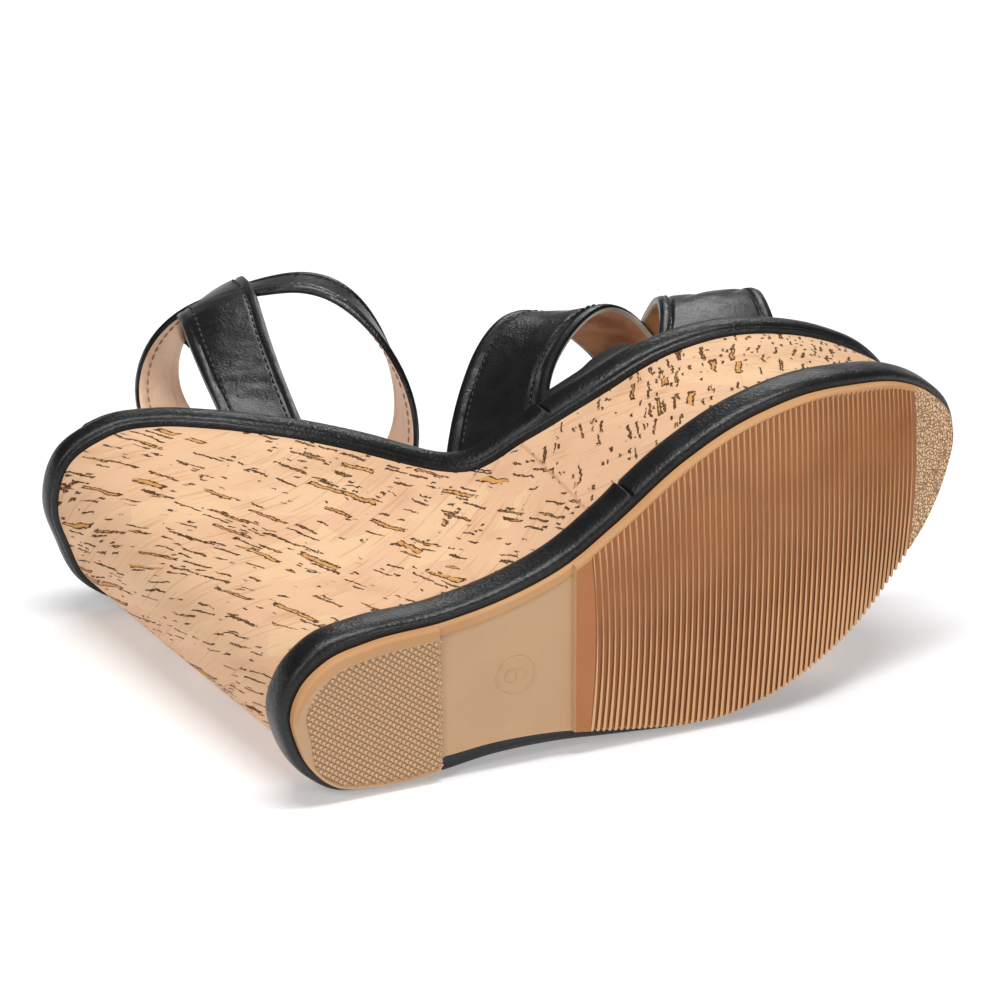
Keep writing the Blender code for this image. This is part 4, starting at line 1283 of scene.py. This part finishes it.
def quarterPath(ends, edge, facing, lean):
    (rearFoot, frontFoot), (rearTurn, frontTurn) = ends
    columns = quarter["columns"]
    lowTurns = np.linspace(rearTurn, frontTurn, columns)
    skinOut = ankle["thick"] / 2 + ankle["clear"] + quarter["thick"]

    def onRing(along, rise, out):
        # along the ankle strap's width from -1 to 1, then off its skin by out
        turn = (lowTurns - lean * (along + 1) / 2) * 2 * math.pi
        middle, upward, outward, halfWidth = ringFrame(turn)
        top = halfWidth + ankle["clear"] + quarter["thick"]
        return middle + upward * (rise * top)[:, None] + outward * out, upward, outward

    footX = np.linspace(rearFoot, frontFoot, columns) * soleLength
    footY = edge(footX) - facing * strapSizes["inset"]
    foot = np.column_stack((footX, footY, bedUpper(footX, footY) - strapSizes["footDown"]))
    low, upward, outward = onRing(-1, -1, skinOut)
    chord = foot - low
    reach = np.linalg.norm(chord, axis=1, keepdims=True)
    straight = quarter["straight"]
    leaveTop = unit(straight * unit(chord) - (1 - straight) * upward)
    reachFoot = unit(straight * unit(chord) - (1 - straight) * np.array((0.0, 0.0, 1.0)))
    rows = []
    for share in np.linspace(1, 0, quarter["climbRows"]):
        rest = 1 - share
        point = low * rest ** 3 + (low + leaveTop * reach / 3) * 3 * rest ** 2 * share
        point = point + (foot - reachFoot * reach / 3) * 3 * rest * share ** 2
        rows.append(point + foot * share ** 3)
    loopShare, power = quarter["loopShare"], quarter["loopPower"]
    skinShares = np.linspace(-0.9, loopShare, quarter["skinRows"])
    for along in skinShares:
        rows.append(onRing(along, along, skinOut)[0])
    for angle in np.linspace(0, 180, quarter["turnRows"])[1:-1]:
        bend = math.radians(angle)
        out = math.copysign(abs(math.cos(bend)) ** power, math.cos(bend)) * skinOut
        rise = loopShare + math.sin(bend) ** power * (1 - loopShare)
        rows.append(onRing(1, rise, out)[0])
    for along in skinShares[::-1]:
        rows.append(onRing(along, along, -skinOut)[0])
    path = np.stack(rows, axis=0)
    softRows = quarter["softRows"]
    for _ in range(quarter["softPasses"]):
        soft = path.copy()
        soft[1:-1] = (path[:-2] + path[1:-1] * 2 + path[2:]) / 4
        path[softRows] = soft[softRows]
    # the tail comes back to the strap under the loop and is sewn to it
    tail = []
    for share in np.linspace(0.1, 1, quarter["tailRows"]):
        beside = path[quarter["climbRows"] - 1 - int(share * (quarter["tailRows"] - 1))]
        close = smoothStep(share, 0.0, 0.6)
        off = 2 * skinOut * (1 - close) + (quarter["thick"] + 0.3 * mm) * close
        tail.append(beside - outward * off)
    return np.concatenate((path, np.stack(tail, axis=0)), axis=0), outward


def addQuarter(name, ends, edge, facing, lean, node):
    face, outward = quarterPath(ends, edge, facing, lean)
    normal = gridNormals(face)
    if np.sum(normal[quarter["climbRows"] * 2 // 3] * outward) < 0:
        normal = -normal
    relief = edgeFolds(face, quarter["folds"]) + creaseField(face.shape[:2], quarter["creases"])
    relief[-1] = 0
    lined = (np.arange(len(face) + 1) < quarter["linedRows"]).astype(int)
    lined = np.repeat(lined[:, None], quarter["columns"] - 1, axis=1)
    item = strapShell(name, face, normal, quarter["thick"], bandLook, relief, insideSlots=lined)
    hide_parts(node)
    sewRows(f"{name}Stitch", (face, normal, relief), (0.14, 0.86), (0.02, 0.72), 0.12 * mm,
            stitchLook["quarter"])


addQuarter("innerQuarter", quarter["inner"], innerEdge, -1.0, quarter["innerLean"],
           "inner_quarter")
addQuarter("outerQuarter", quarter["outer"], outerEdge, 1.0, quarter["outerLean"],
           "outer_quarter")
print("straps ready")

# Floor, light and camera
studio = {
    "floor": (0.80, 0.80, 0.81), "world": 0.07, "floorGlow": 0.28,
    "farGlow": (1.0, 3.6, 1.0, 3.6),  # from and to in metres, and how much brighter
    "floorSize": 9.0, "floorDrop": 0.0001,
    "eye": (-0.3575, -0.5134, -0.8582), "lens": 158.07,
    "right": (0.8991126, 0.0087945, -0.4376291), "up": (0.1990462, -0.8986607, 0.3908829),
    "toward": (-0.3898424, -0.4385562, -0.8097477),
    "lights": (
        ("overhead", (-0.05, -0.15, 1.3), (0.0, 0.0, 0.05), 1.0, 0.28, 16.0),
        ("backPanel", (0.85, 1.45, 1.1), (0.0, 0.0, 0.08), 0.9, 0.22, 7.5),
        ("leftWindow", (-1.2, -0.7, 0.9), (0.0, 0.0, 0.08), 0.30, 0.8, 7.5),
        ("frontFill", (0.6, -1.6, 0.7), (0.0, 0.0, 0.08), 0.7, 0.25, 7.0),
    ),
}
bpy.ops.object.select_all(action="DESELECT")
floorLevel = float(cadBox[0][2]) - studio["floorDrop"]
bpy.ops.mesh.primitive_plane_add(size=studio["floorSize"], location=(0, 0, floorLevel))
floor = bpy.context.object
floor.name = "studioFloor"
floorFinish = Finish("studioFloor", studio["floor"], 0.75)
faint = floorFinish.noise(3.0)
fromSandal = floorFinish.vector("LENGTH", floorFinish.spot, (0, 0, 0), "Value")
farGlow = floorFinish.between(fromSandal, *studio["farGlow"])
floorFinish.feed(Roughness=faint * 0.1 + 0.7, Emission_Color=farGlow)
floorFinish.shader.inputs["Emission Strength"].default_value = studio["floorGlow"]
floor.data.materials.append(floorFinish.material)

world = bpy.context.scene.world or bpy.data.worlds.new("studioWorld")
bpy.context.scene.world = world
world.use_nodes = True
background = world.node_tree.nodes["Background"].inputs
background["Color"].default_value = (1.0, 1.0, 1.0, 1.0)
background["Strength"].default_value = studio["world"]

for name, spot, aim, wide, deep, power in studio["lights"]:
    bpy.ops.object.light_add(type="AREA", location=spot)
    lamp = bpy.context.object
    lamp.name = name
    lamp.data.shape = "RECTANGLE"
    lamp.data.size = wide
    lamp.data.size_y = deep
    lamp.data.energy = power
    lamp.rotation_euler = (Vector(aim) - Vector(spot)).to_track_quat("-Z", "Y").to_euler()

axes = np.stack([placeDirection(studio[key]) for key in ("right", "up", "toward")], axis=1)
bpy.ops.object.camera_add()
camera = bpy.context.object
camera.name = "photoCamera"
camera.data.lens = studio["lens"]
camera.data.sensor_width = 36.0
camera.data.clip_end = 20.0
viewMatrix = Matrix(axes.tolist()).to_4x4()
viewMatrix.translation = Vector(place(np.array(studio["eye"])).tolist())
camera.matrix_world = viewMatrix
bpy.context.scene.camera = camera
bpy.context.scene.view_settings.view_transform = "Standard"

print("scene ready")
